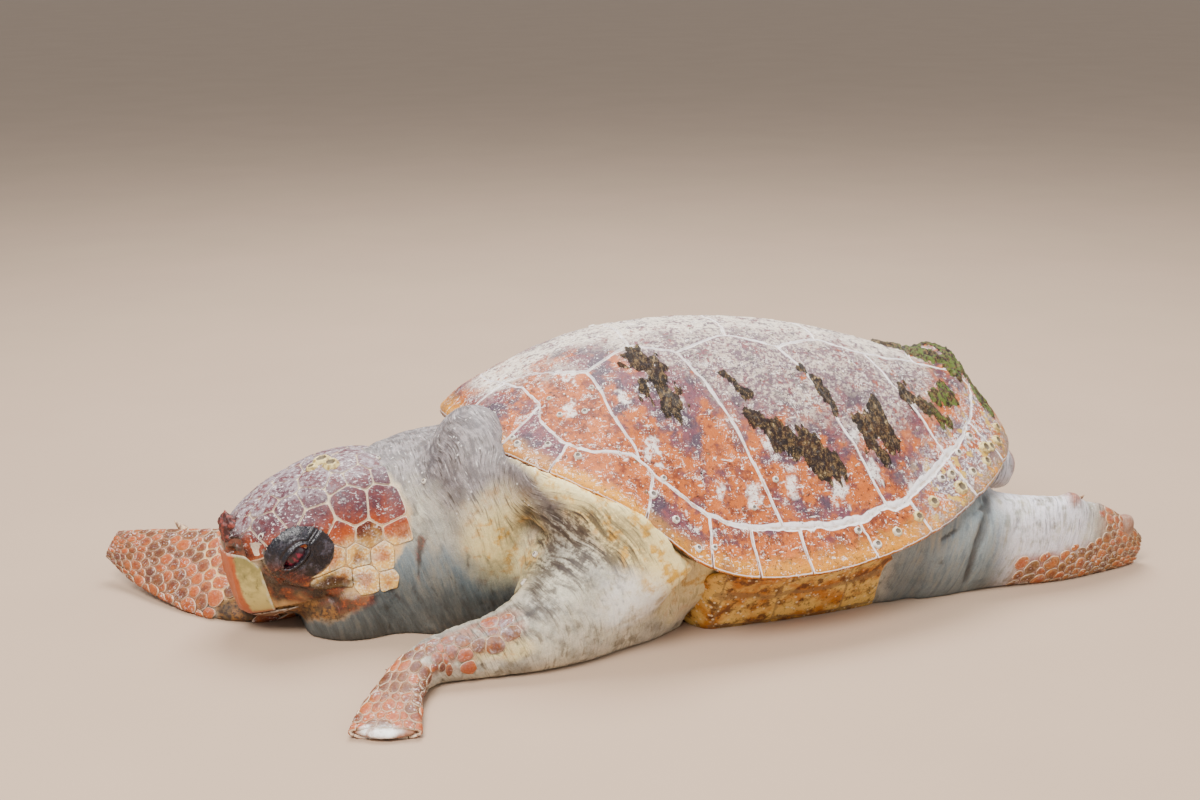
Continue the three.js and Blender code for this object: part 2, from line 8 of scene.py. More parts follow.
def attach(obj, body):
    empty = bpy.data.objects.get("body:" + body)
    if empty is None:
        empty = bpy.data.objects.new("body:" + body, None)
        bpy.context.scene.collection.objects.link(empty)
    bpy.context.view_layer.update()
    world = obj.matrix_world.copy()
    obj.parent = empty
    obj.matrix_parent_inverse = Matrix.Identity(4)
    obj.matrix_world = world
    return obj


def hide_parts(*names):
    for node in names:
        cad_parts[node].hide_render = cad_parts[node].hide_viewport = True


# A loggerhead turtle at life size. Shapes are worked out in millimetres and put into the meshes in metres.
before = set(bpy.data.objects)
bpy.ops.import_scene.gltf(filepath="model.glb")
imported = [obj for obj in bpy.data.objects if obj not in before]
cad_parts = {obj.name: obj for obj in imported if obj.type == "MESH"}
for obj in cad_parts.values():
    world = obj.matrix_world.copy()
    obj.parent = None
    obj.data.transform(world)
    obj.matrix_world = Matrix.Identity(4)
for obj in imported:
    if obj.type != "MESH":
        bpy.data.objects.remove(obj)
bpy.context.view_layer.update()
mm = 0.001


# an object of the given data, put into the scene
def placed(name, data):
    made = bpy.data.objects.new(name, data)
    bpy.context.scene.collection.objects.link(made)
    return made


# turns an object by its three axes and puts it at a place
def setAxes(thing, across, upward, back, place):
    matrix = Matrix.Identity(4)
    for row in range(3):
        matrix[row][:] = (across[row], upward[row], back[row], place[row])
    thing.matrix_world = matrix


# ---- camera
view = {
    "azimuth": -15.6, "elevation": 15.3, "roll": -0.5,  # degrees
    "distance": 3.16, "target": (-0.07, 0.485, 0.15),  # metres
    "lens": 51.6, "sensor": 36.0,  # millimetres
}


def placeCamera():
    turn, rise, roll = (math.radians(view[key]) for key in ("azimuth", "elevation", "roll"))
    back = np.array([math.sin(turn) * math.cos(rise), -math.cos(turn) * math.cos(rise), math.sin(rise)])
    right = np.array([math.cos(turn), math.sin(turn), 0])
    up = np.cross(back, right)
    across = right * math.cos(roll) + up * math.sin(roll)
    upright = up * math.cos(roll) - right * math.sin(roll)
    data = bpy.data.cameras.new("camera")
    data.lens, data.sensor_width = view["lens"], view["sensor"]
    camera = placed("camera", data)
    setAxes(camera, across, upright, back, np.array(view["target"]) + back * view["distance"])
    bpy.context.scene.camera = camera


placeCamera()
print("camera placed")


# ---- shader maths: a socket with the arithmetic operators, and a material that grows from them
def operator(operation, swapped=False):
    return lambda self, other: self.maths(operation, *((other, self) if swapped else (self, other)))


class Signal:
    def __init__(self, paint, socket):
        self.paint, self.socket = paint, socket

    def maths(self, operation, first, second=None):
        return self.paint.node("ShaderNodeMath", {"operation": operation}, {0: first, 1: second})

    __add__, __radd__ = operator("ADD"), operator("ADD", True)
    __sub__, __rsub__ = operator("SUBTRACT"), operator("SUBTRACT", True)
    __mul__, __rmul__ = operator("MULTIPLY"), operator("MULTIPLY", True)
    most = operator("MAXIMUM")

    # 0 below low, 1 above high, smooth between them; low may be the larger of the two
    def ramp(self, low, high):
        settings = {"interpolation_type": "SMOOTHSTEP", "clamp": True}
        ends = (low, high, 0.0, 1.0) if low < high else (high, low, 1.0, 0.0)
        return self.paint.node("ShaderNodeMapRange", settings, dict(enumerate((self,) + ends)))


# "#rrggbb" as a linear colour
def linear(code):
    parts = [int(code[k:k + 2], 16) / 255 for k in (1, 3, 5)]
    return [c / 12.92 if c <= 0.04045 else ((c + 0.055) / 1.055) ** 2.4 for c in parts] + [1.0]


class Paint:
    def __init__(self, name):
        self.material = bpy.data.materials.new(name)
        self.material.use_nodes = True
        self.tree = self.material.node_tree
        self.tree.nodes.clear()
        self.place = self.node("ShaderNodeTexCoord", {}, {}, "Object")

    # any node: its type, its settings, the values or links of its sockets, and the output that is wanted
    def node(self, kind, settings, sockets, output=0):
        made = self.tree.nodes.new(kind)
        for key, value in settings.items():
            setattr(made, key, value)
        for key, value in sockets.items():
            if isinstance(value, Signal):
                self.tree.links.new(value.socket, made.inputs[key])
            elif value is not None:
                made.inputs[key].default_value = value
        return Signal(self, made.outputs[output])

    # cloudy noise whose features are about `size` millimetres across, from 0 to 1
    def noise(self, size, detail=3.0, rough=0.55, stretch=None, shift=0.0):
        place = self.place
        if stretch or shift:
            place = self.node(
                "ShaderNodeMapping", {}, {0: place, 1: (shift, shift, shift), 3: stretch or (1, 1, 1)}
            )
        sockets = {"Vector": place, "Scale": 1 / (size * mm), "Detail": detail, "Roughness": rough}
        return self.node("ShaderNodeTexNoise", {}, sockets)

    # distance to the nearest cell centre
    def cells(self, size):
        return self.node("ShaderNodeTexVoronoi", {}, {"Vector": self.place, "Scale": 1 / (size * mm)})

    # noise drawn out along the lines where a layer in millimetres is equal: fine wrinkles that follow the
    # folds
    def lines(self, ripple, size, length, shift=0.0):
        y, z = (
            self.node("ShaderNodeSeparateXYZ", {}, {0: self.place}, k) * (1 / (length * mm)) for k in (1, 2)
        )
        place = self.node("ShaderNodeCombineXYZ", {}, {0: ripple * (1 / size) + shift, 1: y, 2: z})
        return self.node(
            "ShaderNodeTexNoise", {}, {"Vector": place, "Scale": 1.0, "Detail": 3.0, "Roughness": 0.6}
        )

    def layer(self, name):
        return self.node("ShaderNodeAttribute", {"attribute_name": name}, {}, "Fac")

    def mix(self, first, second, share):
        first, second = (linear(c) if isinstance(c, str) else c for c in (first, second))
        return self.node("ShaderNodeMix", {"data_type": "RGBA"}, {0: share, 6: first, 7: second}, 2)

    # lays a colour over the paint's own one by a share
    def lay(self, colour, share):
        self.colour = self.mix(self.colour, colour, share)

    # lightens or darkens the paint's colour by a signal round 0.5
    def shade(self, signal, strength):
        grey = self.node("ShaderNodeCombineColor", {}, {0: signal, 1: signal, 2: signal})
        settings = {"data_type": "RGBA", "blend_type": "OVERLAY"}
        self.colour = self.node("ShaderNodeMix", settings, {0: strength, 6: self.colour, 7: grey}, 2)

    def bump(self, height, depth, normal=None):
        return self.node(
            "ShaderNodeBump", {},
            {"Height": height, "Distance": depth * mm, "Strength": 1.0, "Normal": normal}
        )

    # the material, from the paint's colour, its roughness and normal, and constants of the shader
    def finish(self, rough, normal=None, **constants):
        sockets = {"Base Color": self.colour, "Roughness": rough, "Normal": normal}
        sockets.update({key.replace("_", " "): value for key, value in constants.items()})
        shader = self.node("ShaderNodeBsdfPrincipled", {}, sockets)
        end = self.tree.nodes.new("ShaderNodeOutputMaterial")
        self.tree.links.new(shader.socket, end.inputs[0])
        return self.material


# ---- numbers on whole arrays
def mix(low, high, share):
    return low + (high - low) * share


def smooth(value, low, high):
    share = np.clip((value - low) / (high - low), 0, 1)
    return share * share * (3 - 2 * share)


# the length of each vector
def distance(vectors):
    return np.linalg.norm(vectors, axis=-1)


def unit(vectors):
    return vectors / np.maximum(distance(vectors)[..., None], 1e-9)


def stacked(*parts):
    return np.stack(parts, -1)


def chained(*parts):
    return np.concatenate(parts)


# the largest of several arrays, place by place
def most(*values):
    return reduce(np.maximum, values)


# exp(-(value / width)^2)
def bell(value, width=1.0):
    return np.exp(-(value / width) ** 2)


# the height of a rounded form, (1 - value^power)^(1/2)
def arch(value, power=2):
    return np.sqrt(np.maximum(1 - value ** power, 0))


# ribs across a run counted in ribs: the size of its sine
def ribs(run):
    return np.abs(np.sin(np.pi * run))


# even angles round a circle
def circle(count):
    return np.arange(count) * 2 * np.pi / count


def signedPower(value, exponent):
    return np.sign(value) * np.abs(value) ** exponent


# a smooth curve through values at uneven stations: cubic Hermite, each slope from the two neighbours
def through(at, values, t):
    at, values = np.asarray(at, float), np.asarray(values, float)
    flat = values.ndim == 1
    if flat:
        values = values[:, None]
    t = np.asarray(t, float)
    i = np.clip(np.searchsorted(at, t, side="left") - 1, 0, len(at) - 2)
    before, after = np.maximum(np.arange(len(at)) - 1, 0), np.minimum(np.arange(len(at)) + 1, len(at) - 1)
    slopes = (values[after] - values[before]) / (at[after] - at[before])[:, None]
    span = (at[i + 1] - at[i])[..., None]
    s = np.clip((t - at[i])[..., None] / span, 0, 1)
    h = s * s * (3 - 2 * s)
    result = values[i] * (1 - h) + values[i + 1] * h + span * s * (1 - s) * (
        (1 - s) * slopes[i] - s * slopes[i + 1]
    )
    return result[..., 0] if flat else result


# value noise from -1 to 1: hashed numbers at the corners of a lattice, blended smoothly, in octaves of half
# the size
def noiseAt(points, size, seed=0, octaves=2):
    total, weight, strength = 0.0, 0.0, 1.0
    for octave in range(octaves):
        place = np.asarray(points, float) / size * 2 ** octave
        cell = np.floor(place).astype(np.int64)
        part = place - cell
        part = part * part * (3 - 2 * part)
        value = 0.0
        for corner in range(8):
            step = np.array([corner & 1, corner >> 1 & 1, corner >> 2 & 1])
            key = cell + step
            mixed = key[..., 0] * 73856093 ^ key[..., 1] * 19349663 ^ key[..., 2] * 83492791
            mixed = (mixed ^ (seed + 17 * octave) * 2654435761) & 0xFFFFFFFF
            mixed = ((mixed ^ (mixed >> 15)) * 2246822519) & 0xFFFFFFFF
            mixed = ((mixed ^ (mixed >> 13)) * 3266489917) & 0xFFFFFFFF
            random = ((mixed ^ (mixed >> 16)) & 0xFFFFFF) / 0xFFFFFF
            value = value + random * np.prod(np.where(step, part, 1 - part), axis=-1)
        total, weight, strength = total + (value * 2 - 1) * strength, weight + strength, strength * 0.5
    return total / weight


# 1 inside a ball of the given reach, 0 outside it, with a soft and wavy edge
def blob(points, centre, reach, soft=0.35, wave=0.25, size=30, seed=0):
    away = distance((points - np.asarray(centre, float)) / np.asarray(reach, float))
    return 1 - smooth(away + wave * noiseAt(points, size, seed), 1 - soft, 1 + soft)


# nearest distance from points to a path of straight lengths, and how far along the path that is
def pathAt(points, path):
    path = np.asarray(path, float)
    best, share = np.full(points.shape[:-1], 1e9), np.zeros(points.shape[:-1])
    for k in range(len(path) - 1):
        step = path[k + 1] - path[k]
        t = np.clip(((points - path[k]) @ step) / (step @ step), 0, 1)
        away = distance(points - path[k] - t[..., None] * step)
        share = np.where(away < best, (k + t) / (len(path) - 1), share)
        best = np.minimum(best, away)
    return best, share


# ---- meshes from arrays
def gridFaces(rows, columns, start=0, closed=False):
    i, j = np.meshgrid(np.arange(rows - 1), np.arange(columns if closed else columns - 1), indexing="ij")
    after = (j + 1) % columns
    quads = stacked(i * columns + j, (i + 1) * columns + j, (i + 1) * columns + after, i * columns + after)
    return quads.reshape(-1, 4) + start


# the points round the edge of a grid
def edgeLoop(rows, columns):
    return chained(
        np.arange(columns - 1), np.arange(rows - 1) * columns + columns - 1,
        (rows - 1) * columns + np.arange(columns - 1, 0, -1), np.arange(rows - 1, 0, -1) * columns,
    )


# a thin closed sheet: two grids back to back, joined round their edge
def sheetFaces(rows, columns):
    count, loop = rows * columns, edgeLoop(rows, columns)
    after = np.roll(loop, -1)
    strip = stacked(loop, after, after + count, loop + count)
    return chained(gridFaces(rows, columns), gridFaces(rows, columns, count)[:, ::-1], strip)


# a closed form of rings: its quads, and the triangles to the two tips, whose points follow the rings' own
def tubeFaces(rows, columns):
    k = np.arange(columns)
    after, end, tip = (k + 1) % columns, (rows - 1) * columns, np.full(columns, rows * columns)
    triangles = chained(stacked(tip, k, after), stacked(tip + 1, end + after, end + k))
    return gridFaces(rows, columns, 0, True), triangles


# many closed forms of rings at once, each with a tip in its last ring and one in its first
def ringFaces(count, levels, around):
    base = (np.arange(count) * levels * around)[:, None, None]
    k = np.arange(around)[None, None]
    after, low = (k + 1) % around, base + np.arange(levels - 1)[None, :, None] * around
    quads = stacked(low + k, low + after, low + around + after, low + around + k).reshape(-1, 4)
    k, after, first = k[0], after[0], base[:, 0]
    tip, last = (count * levels * around + np.arange(count))[:, None] + 0 * k, first + (levels - 1) * around
    triangles = [stacked(last + k, last + after, tip), stacked(first + after, first + k, tip + count)]
    return quads, np.concatenate(triangles).reshape(-1, 3)


def volumeOf(points, quads, triangles):
    corners = chained(quads[:, [0, 1, 2]], quads[:, [0, 2, 3]], triangles)
    a, b, c = (points[corners[:, k]] for k in range(3))
    return np.einsum("ij,ij->", a, np.cross(b, c)) / 6


# a piece from points in millimetres, its faces turned outwards, with its layers and its map
def addPiece(
    name, points, quads, triangles, material, layers=None, bakeMap=None, replaces=(), turn=True
):
    quads = np.asarray(quads, np.int64).reshape(-1, 4)
    triangles = np.asarray(triangles, np.int64).reshape(-1, 3)
    if turn and volumeOf(points - points.mean(0), quads, triangles) < 0:
        quads, triangles = quads[:, ::-1], triangles[:, ::-1]
    mesh = bpy.data.meshes.new(name)
    mesh.vertices.add(len(points))
    mesh.vertices.foreach_set("co", (points * mm).astype(np.float32).ravel())
    corners = chained(quads.ravel(), triangles.ravel()).astype(np.int32)
    sizes = chained(np.full(len(quads), 4), np.full(len(triangles), 3))
    mesh.loops.add(len(corners))
    mesh.loops.foreach_set("vertex_index", corners)
    mesh.polygons.add(len(sizes))
    mesh.polygons.foreach_set("loop_start", chained([0], np.cumsum(sizes)[:-1]).astype(np.int32))
    mesh.update(calc_edges=True)
    mesh.polygons.foreach_set("use_smooth", np.ones(len(sizes), bool))
    for key, values in (layers or {}).items():
        layer = mesh.attributes.new(key, "FLOAT", "POINT")
        layer.data.foreach_set("value", np.broadcast_to(values, len(points)).astype(np.float32).ravel())
    if bakeMap is not None:
        uvLayer = mesh.uv_layers.new(name="OFBake")
        uvLayer.data.foreach_set("uv", bakeMap[corners].astype(np.float32).ravel())
    mesh.validate()
    mesh.materials.append(material)
    piece = placed(name, mesh)
    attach(piece, "root")
    if replaces:
        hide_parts(*replaces)
    return piece


# ---- the carapace's form, as in the solids
carapace = {
    "front": 378, "rear": 534, "widestX": -72, "halfWidth": 344, "frontPower": 2.4, "rearPower": 2.1,
    "domePower": 2.34, "domeEase": 1.33, "thick": 10, "seam": 1.1, "ring": 0.86,
    "pitch": 4.4, "roll": -5.3, "pivotHeight": 200,
}
rim = {
    "at": [0, 0.2, 0.27, 0.33, 0.4, 0.5, 0.6, 0.75, 1], "heights": [252, 184, 140, 103, 84, 83, 95, 132, 236]
}
crown = {"at": [0, 0.05, 0.25, 0.5, 0.75, 0.94, 1], "heights": [252, 296, 380, 401, 365, 297, 236]}
hump = {"x": 368, "ahead": 62, "behind": 24, "across": 70, "height": 34}
marginalEdges = [9.5, 29, 45, 69, 83, 90.5, 98.5, 110, 122, 136, 151, 166, 180]
costalEdges = [8, 65, 95.7, 117, 136.4, 166]
vertebralSide = [
    [0.1, 85], [0.2, 128], [0.275, 95], [0.35, 120], [0.445, 88],
    [0.53, 112], [0.61, 78], [0.69, 92], [0.8, 74], [0.885, 68],
]
shellLength = carapace["front"] + carapace["rear"]
shellFront = carapace["widestX"] - carapace["front"]
ring, shellThick, seamHalf, middleX = (carapace[key] for key in ("ring", "thick", "seam", "widestX"))


def rotation(axis, degrees):
    turn = math.radians(degrees)
    c, s = math.cos(turn), math.sin(turn)
    return np.array({
        "x": [[1, 0, 0], [0, c, -s], [0, s, c]],
        "y": [[c, 0, s], [0, 1, 0], [-s, 0, c]],
        "z": [[c, -s, 0], [s, c, 0], [0, 0, 1]],
    }[axis])


shellTurn = rotation("y", carapace["pitch"]) @ rotation("x", carapace["roll"])
shellPivot = np.array([0, 0, carapace["pivotHeight"]])


def tilted(points):
    return (points - shellPivot) @ shellTurn.T + shellPivot


def untilted(points):
    return (points - shellPivot) @ shellTurn + shellPivot


def shareAt(x):
    return np.clip((x - shellFront) / shellLength, 0, 1)


# the power and the reach of the outline, ahead of the widest place and behind it
def outlineAt(ahead):
    power = np.where(ahead, carapace["frontPower"], carapace["rearPower"])
    return power, np.where(ahead, carapace["front"], carapace["rear"])


def halfWidthAt(x):
    n, reach = outlineAt(x < middleX)
    s = np.minimum(np.abs(x - middleX) / reach, 1)
    return carapace["halfWidth"] * (1 - s ** n) ** (1 / n)


def rimAt(x):
    return through(rim["at"], rim["heights"], shareAt(x))


# the rim's height, and above it (1 - v^p)^q of the way up to the crown, v being the share of the way out; and
# the hump
def domeAt(x, y):
    low, high = rimAt(x), through(crown["at"], crown["heights"], shareAt(x))
    v = np.minimum(np.abs(y) / np.maximum(halfWidthAt(x), 1e-3), 1)
    along = (x - hump["x"]) / np.where(x < hump["x"], hump["ahead"], hump["behind"])
    knob = hump["height"] * np.exp(-along ** 2 - (y / hump["across"]) ** 2)
    return low + (high - low) * (1 - v ** carapace["domePower"]) ** carapace["domeEase"] + knob


# a point of the plan: an angle round from the front, on the left side, and a share of the way out to the rim
def ringPoint(degrees, share):
    degrees = np.asarray(degrees, float)
    turn = np.radians(degrees)
    n, reach = outlineAt(degrees <= 90)
    x = middleX - share * reach * signedPower(np.cos(turn), 2 / n)
    y = -share * carapace["halfWidth"] * np.maximum(np.sin(turn), 0) ** (2 / n)
    return stacked(x, y)


# how far out a point of the plan lies, as a share, and its angle round from the front
def ringPlace(x, y):
    ahead = x < middleX
    n, reach = outlineAt(ahead)
    a, b = np.abs(x - middleX) / reach, np.abs(y) / carapace["halfWidth"]
    share = (a ** n + b ** n) ** (1 / n)
    turn = np.degrees(np.arctan2(b ** (n / 2), a ** (n / 2)))
    return share, np.where(ahead, turn, 180 - turn)


# the line between the costal and the marginal plates wanders: its share of the way out, at angles from the
# front
marginLine = {
    "left": [
        [0, 0.84], [6, 0.82], [18, 0.79], [28, 0.8], [33, 0.85], [44, 0.884], [52, 0.872], [63, 0.812],
        [71, 0.838], [80, 0.845], [89, 0.875], [99, 0.881], [108, 0.894], [121, 0.9], [132, 0.883],
        [148, 0.875], [166, 0.862], [180, 0.86],
    ],
    "right": [
        [0, 0.84], [9, 0.83], [22, 0.82], [34, 0.86], [45, 0.872], [60, 0.845], [75, 0.87], [92, 0.862],
        [108, 0.885], [122, 0.872], [138, 0.882], [152, 0.866], [166, 0.862], [180, 0.86],
    ],
}


def aimAt(y, turn):
    left, right = (np.interp(turn, *np.array(marginLine[side]).T) for side in ("left", "right"))
    return mix(right, left, smooth(-y, -25, 25))


# moves a plan point so that every seam wanders a little, and the costal-marginal seam follows its own line
def wander(plan):
    x, y = plan[..., 0], plan[..., 1]
    share, turn = ringPlace(x, y)
    aim = aimAt(y, turn)
    pull = np.where(share < ring, smooth(share, ring - 0.24, ring), smooth(share, 1, ring)) * (aim - ring)
    inside = smooth(share, 1, 0.9)
    place = stacked(x, y, np.zeros_like(x))
    grow = 1 + pull / np.maximum(share, 0.05)
    dx = 3.4 * noiseAt(place, 34, 3) + 1.6 * noiseAt(place, 11, 4)
    dy = 3.4 * noiseAt(place, 34, 5) + 1.6 * noiseAt(place, 11, 6)
    return stacked(
        middleX + (x - middleX) * grow + dx * inside,
        y * grow + dy * inside * smooth(np.abs(y), 0, 25),
    )


def line(p, q):
    p, q = np.asarray(p, float), np.asarray(q, float)
    return lambda t: p + (q - p) * np.asarray(t, float)[..., None]


def bent(p, q, r):
    first, second = line(p, q), line(q, r)
    return lambda t: np.where(
        np.asarray(t)[..., None] < 0.5, first(2 * np.asarray(t)), second(2 * np.asarray(t) - 1)
    )


def ringArc(start, end, share):
    return lambda t: ringPoint(mix(start, end, np.asarray(t, float)), share)


def mirrored(edge):
    return lambda t: edge(t) * np.array([1, -1])


def sidePoint(k):
    return np.array([shellFront + vertebralSide[k][0] * shellLength, -vertebralSide[k][1]])


# stations from 0 to 1 along an edge: an even step, and closer ones where the edge rounds over
def stations(length, step):
    even = np.linspace(0, 1, max(int(length / step), 4) + 1)[1:-1]
    near = np.array([0, 0.7, 1.8, 3.4]) / length
    even = even[(even > near[-1] * 1.3) & (even < 1 - near[-1] * 1.3)]
    return chained(near, even, 1 - near[::-1])


def vertebralEdges(k):
    first, last = k == 0, k == 4
    start = ringPoint(costalEdges[0], ring) if first else sidePoint(2 * k)
    end = ringPoint(costalEdges[5], ring) if last else sidePoint(2 * k + 2)

    def across(angle):
        half = 0 if angle < 90 else 180

        def edge(t):
            t = np.asarray(t, float)
            p = ringPoint(np.where(t < 0.5, mix(angle, half, 2 * t), mix(half, angle, 2 * t - 1)), ring)
            return p * stacked(np.ones_like(t), np.where(t < 0.5, 1, -1))
        return edge

    side = bent(start, sidePoint(9 if last else 2 * k + 1), end)
    if first:
        nose, tail = bent(start, sidePoint(0), sidePoint(1)), line(sidePoint(1), end)
        side = lambda t: np.where(
            np.asarray(t)[..., None] < 0.75, nose(np.asarray(t) / 0.75), tail(4 * np.asarray(t) - 3)
        )
    flip = np.array([1, -1])
    front = across(costalEdges[0]) if first else line(start, start * flip)
    rear = across(costalEdges[5]) if last else line(end, end * flip)
    return front, rear, side, mirrored(side)


def costalEdgesOf(k):
    inner = line(sidePoint(0), sidePoint(1)) if k == 0 else bent(
        *(sidePoint(2 * k + step) for step in (-1, 0, 1))
    )
    outer = ringArc(costalEdges[k], costalEdges[k + 1], ring)
    return line(inner(0.0), outer(0.0)), line(inner(1.0), outer(1.0)), inner, outer


def marginalEdgesOf(k):
    inner, outer = (ringArc(marginalEdges[k], marginalEdges[k + 1], share) for share in (ring, 1))
    return line(inner(0.0), outer(0.0)), line(inner(1.0), outer(1.0)), inner, outer


def nuchalEdges():
    def edge(share):
        def at(t):
            t = np.asarray(t, float)
            p = ringPoint(marginalEdges[0] * np.abs(2 * t - 1), share)
            return p * stacked(np.ones_like(t), np.where(t < 0.5, 1, -1))
        return at
    inner, outer = edge(ring), edge(1)
    return line(inner(0.0), outer(0.0)), line(inner(1.0), outer(1.0)), inner, outer


# mud that has settled on the shell, in its own frame: [from x, y, to x, y, half width, height]
mudStreaks = [
    [-188, -132, -176, -158, 25, 4.0], [-176, -158, -164, -186, 20, 4.5], [-67, -159, -39, -183, 8, 4.0],
    [-46, -204, -9, -223, 8, 4.5], [-9, -223, 77, -246, 12, 6.0], [36, -226, 58, -250, 15, 5.0],
    [57, -146, 78, -166, 7, 4.0], [78, -166, 96, -190, 8, 4.0], [137, -198, 147, -219, 11, 5.0],
    [147, -219, 166, -233, 8, 4.0], [160, -182, 178, -207, 14, 5.0], [233, -148, 297, -168, 11, 5.0],
    [288, -140, 318, -116, 15, 5.0], [252, -4, 290, -30, 17, 6.0], [290, -30, 356, -62, 22, 7.0],
    [345, 22, 374, -40, 24, 6.0], [374, -46, 396, -92, 15, 5.0], [330, 40, 300, 64, 18, 4.0],
    [100, 140, 150, 168, 14, 4.0], [-60, 190, -20, 206, 12, 3.5], [210, 212, 250, 188, 13, 4.0],
]
# where a white crust has grown: [x, y, radius]
whitePatches = [
    [-55, -273, 17], [3, -267, 20], [80, -262, 20], [-158, -190, 22], [-109, -273, 13], [142, -247, 15],
    [239, -231, 18], [-311, -183, 18], [-198, -242, 20], [-300, -120, 24], [200, -250, 16], [-230, -180, 16],
    [120, -215, 12], [-20, -235, 14],
]
# how purple each plate is, from orange at 0
plateTones = {
    "nuchal": 0.55, "vertebral": [0.5, 0.62, 0.7, 0.62, 0.3], "costal": [0.12, 0.36, 0.45, 0.5, 0.4],
    "marginal": [0.5, 0.85, 0.0, 0.45, 0.4, 0.3, 0.25, 0.35, 0.5, 0.4, 0.4, 0.45],
}
underRings = (1.0, 0.8, 0.6, 0.4, 0.2)  # sizes of the loops that close a plate below
relief = {"step": 3.0, "edgeDrop": 1.4, "edgeRound": 3.2, "rimRound": 6.0, "growth": 0.32, "growthStep": 6.5}


# each streak is the distance to a straight line over its half width, its edge torn by noise
def mudAt(x, y):
    place = stacked(x, y, np.zeros_like(x))
    torn = 0.7 * noiseAt(place, 22, 21, 4) + 0.6 * noiseAt(place @ rotation("z", 35) * [1, 0.35, 1], 6, 22, 2)
    total = np.zeros_like(x)
    for fromX, fromY, toX, toY, half, height in mudStreaks:
        away, _ = pathAt(place, [[fromX, fromY, 0], [toX, toY, 0]])
        total = np.maximum(total, smooth(away / half + 1.3 * torn, 1.15, 0.7) * height)
    return total


# the layers that the shell's finish reads, all of them from the place on the plan
def shellLayers(x, y, z, share):
    place = stacked(x, y, z)
    crust = smooth(noiseAt(place, 34, 31, 3) + 0.25 * smooth(-x, 60, 330), 0.15, 0.5)
    reach = mix(95, 205, smooth(x, -270, -60)) - 120 * smooth(x, 230, 330)
    film = (
        smooth(reach - np.abs(y) + 80 * noiseAt(place, 60, 33, 3), -30, 45) * (1 - smooth(share, 0.84, 0.94))
    )
    crest = smooth(np.abs(y) + 60 * noiseAt(place, 50, 34, 3), 120, 30) * smooth(x, 330, 230)
    rough = smooth(x, 180, 260) * smooth(share, 0.8, 0.88) * smooth(-y, 60, 110)
    torn = noiseAt(place, 10, 35, 3)
    patch = most(*(smooth(np.hypot(x - px, y - py) / r + torn, 0.62, 0.4) for px, py, r in whitePatches))
    return {
        "mud": mudAt(x, y) / 5, "crust": crust, "film": film, "crest": crest, "out": share, "grit": rough,
        "patch": patch
    }


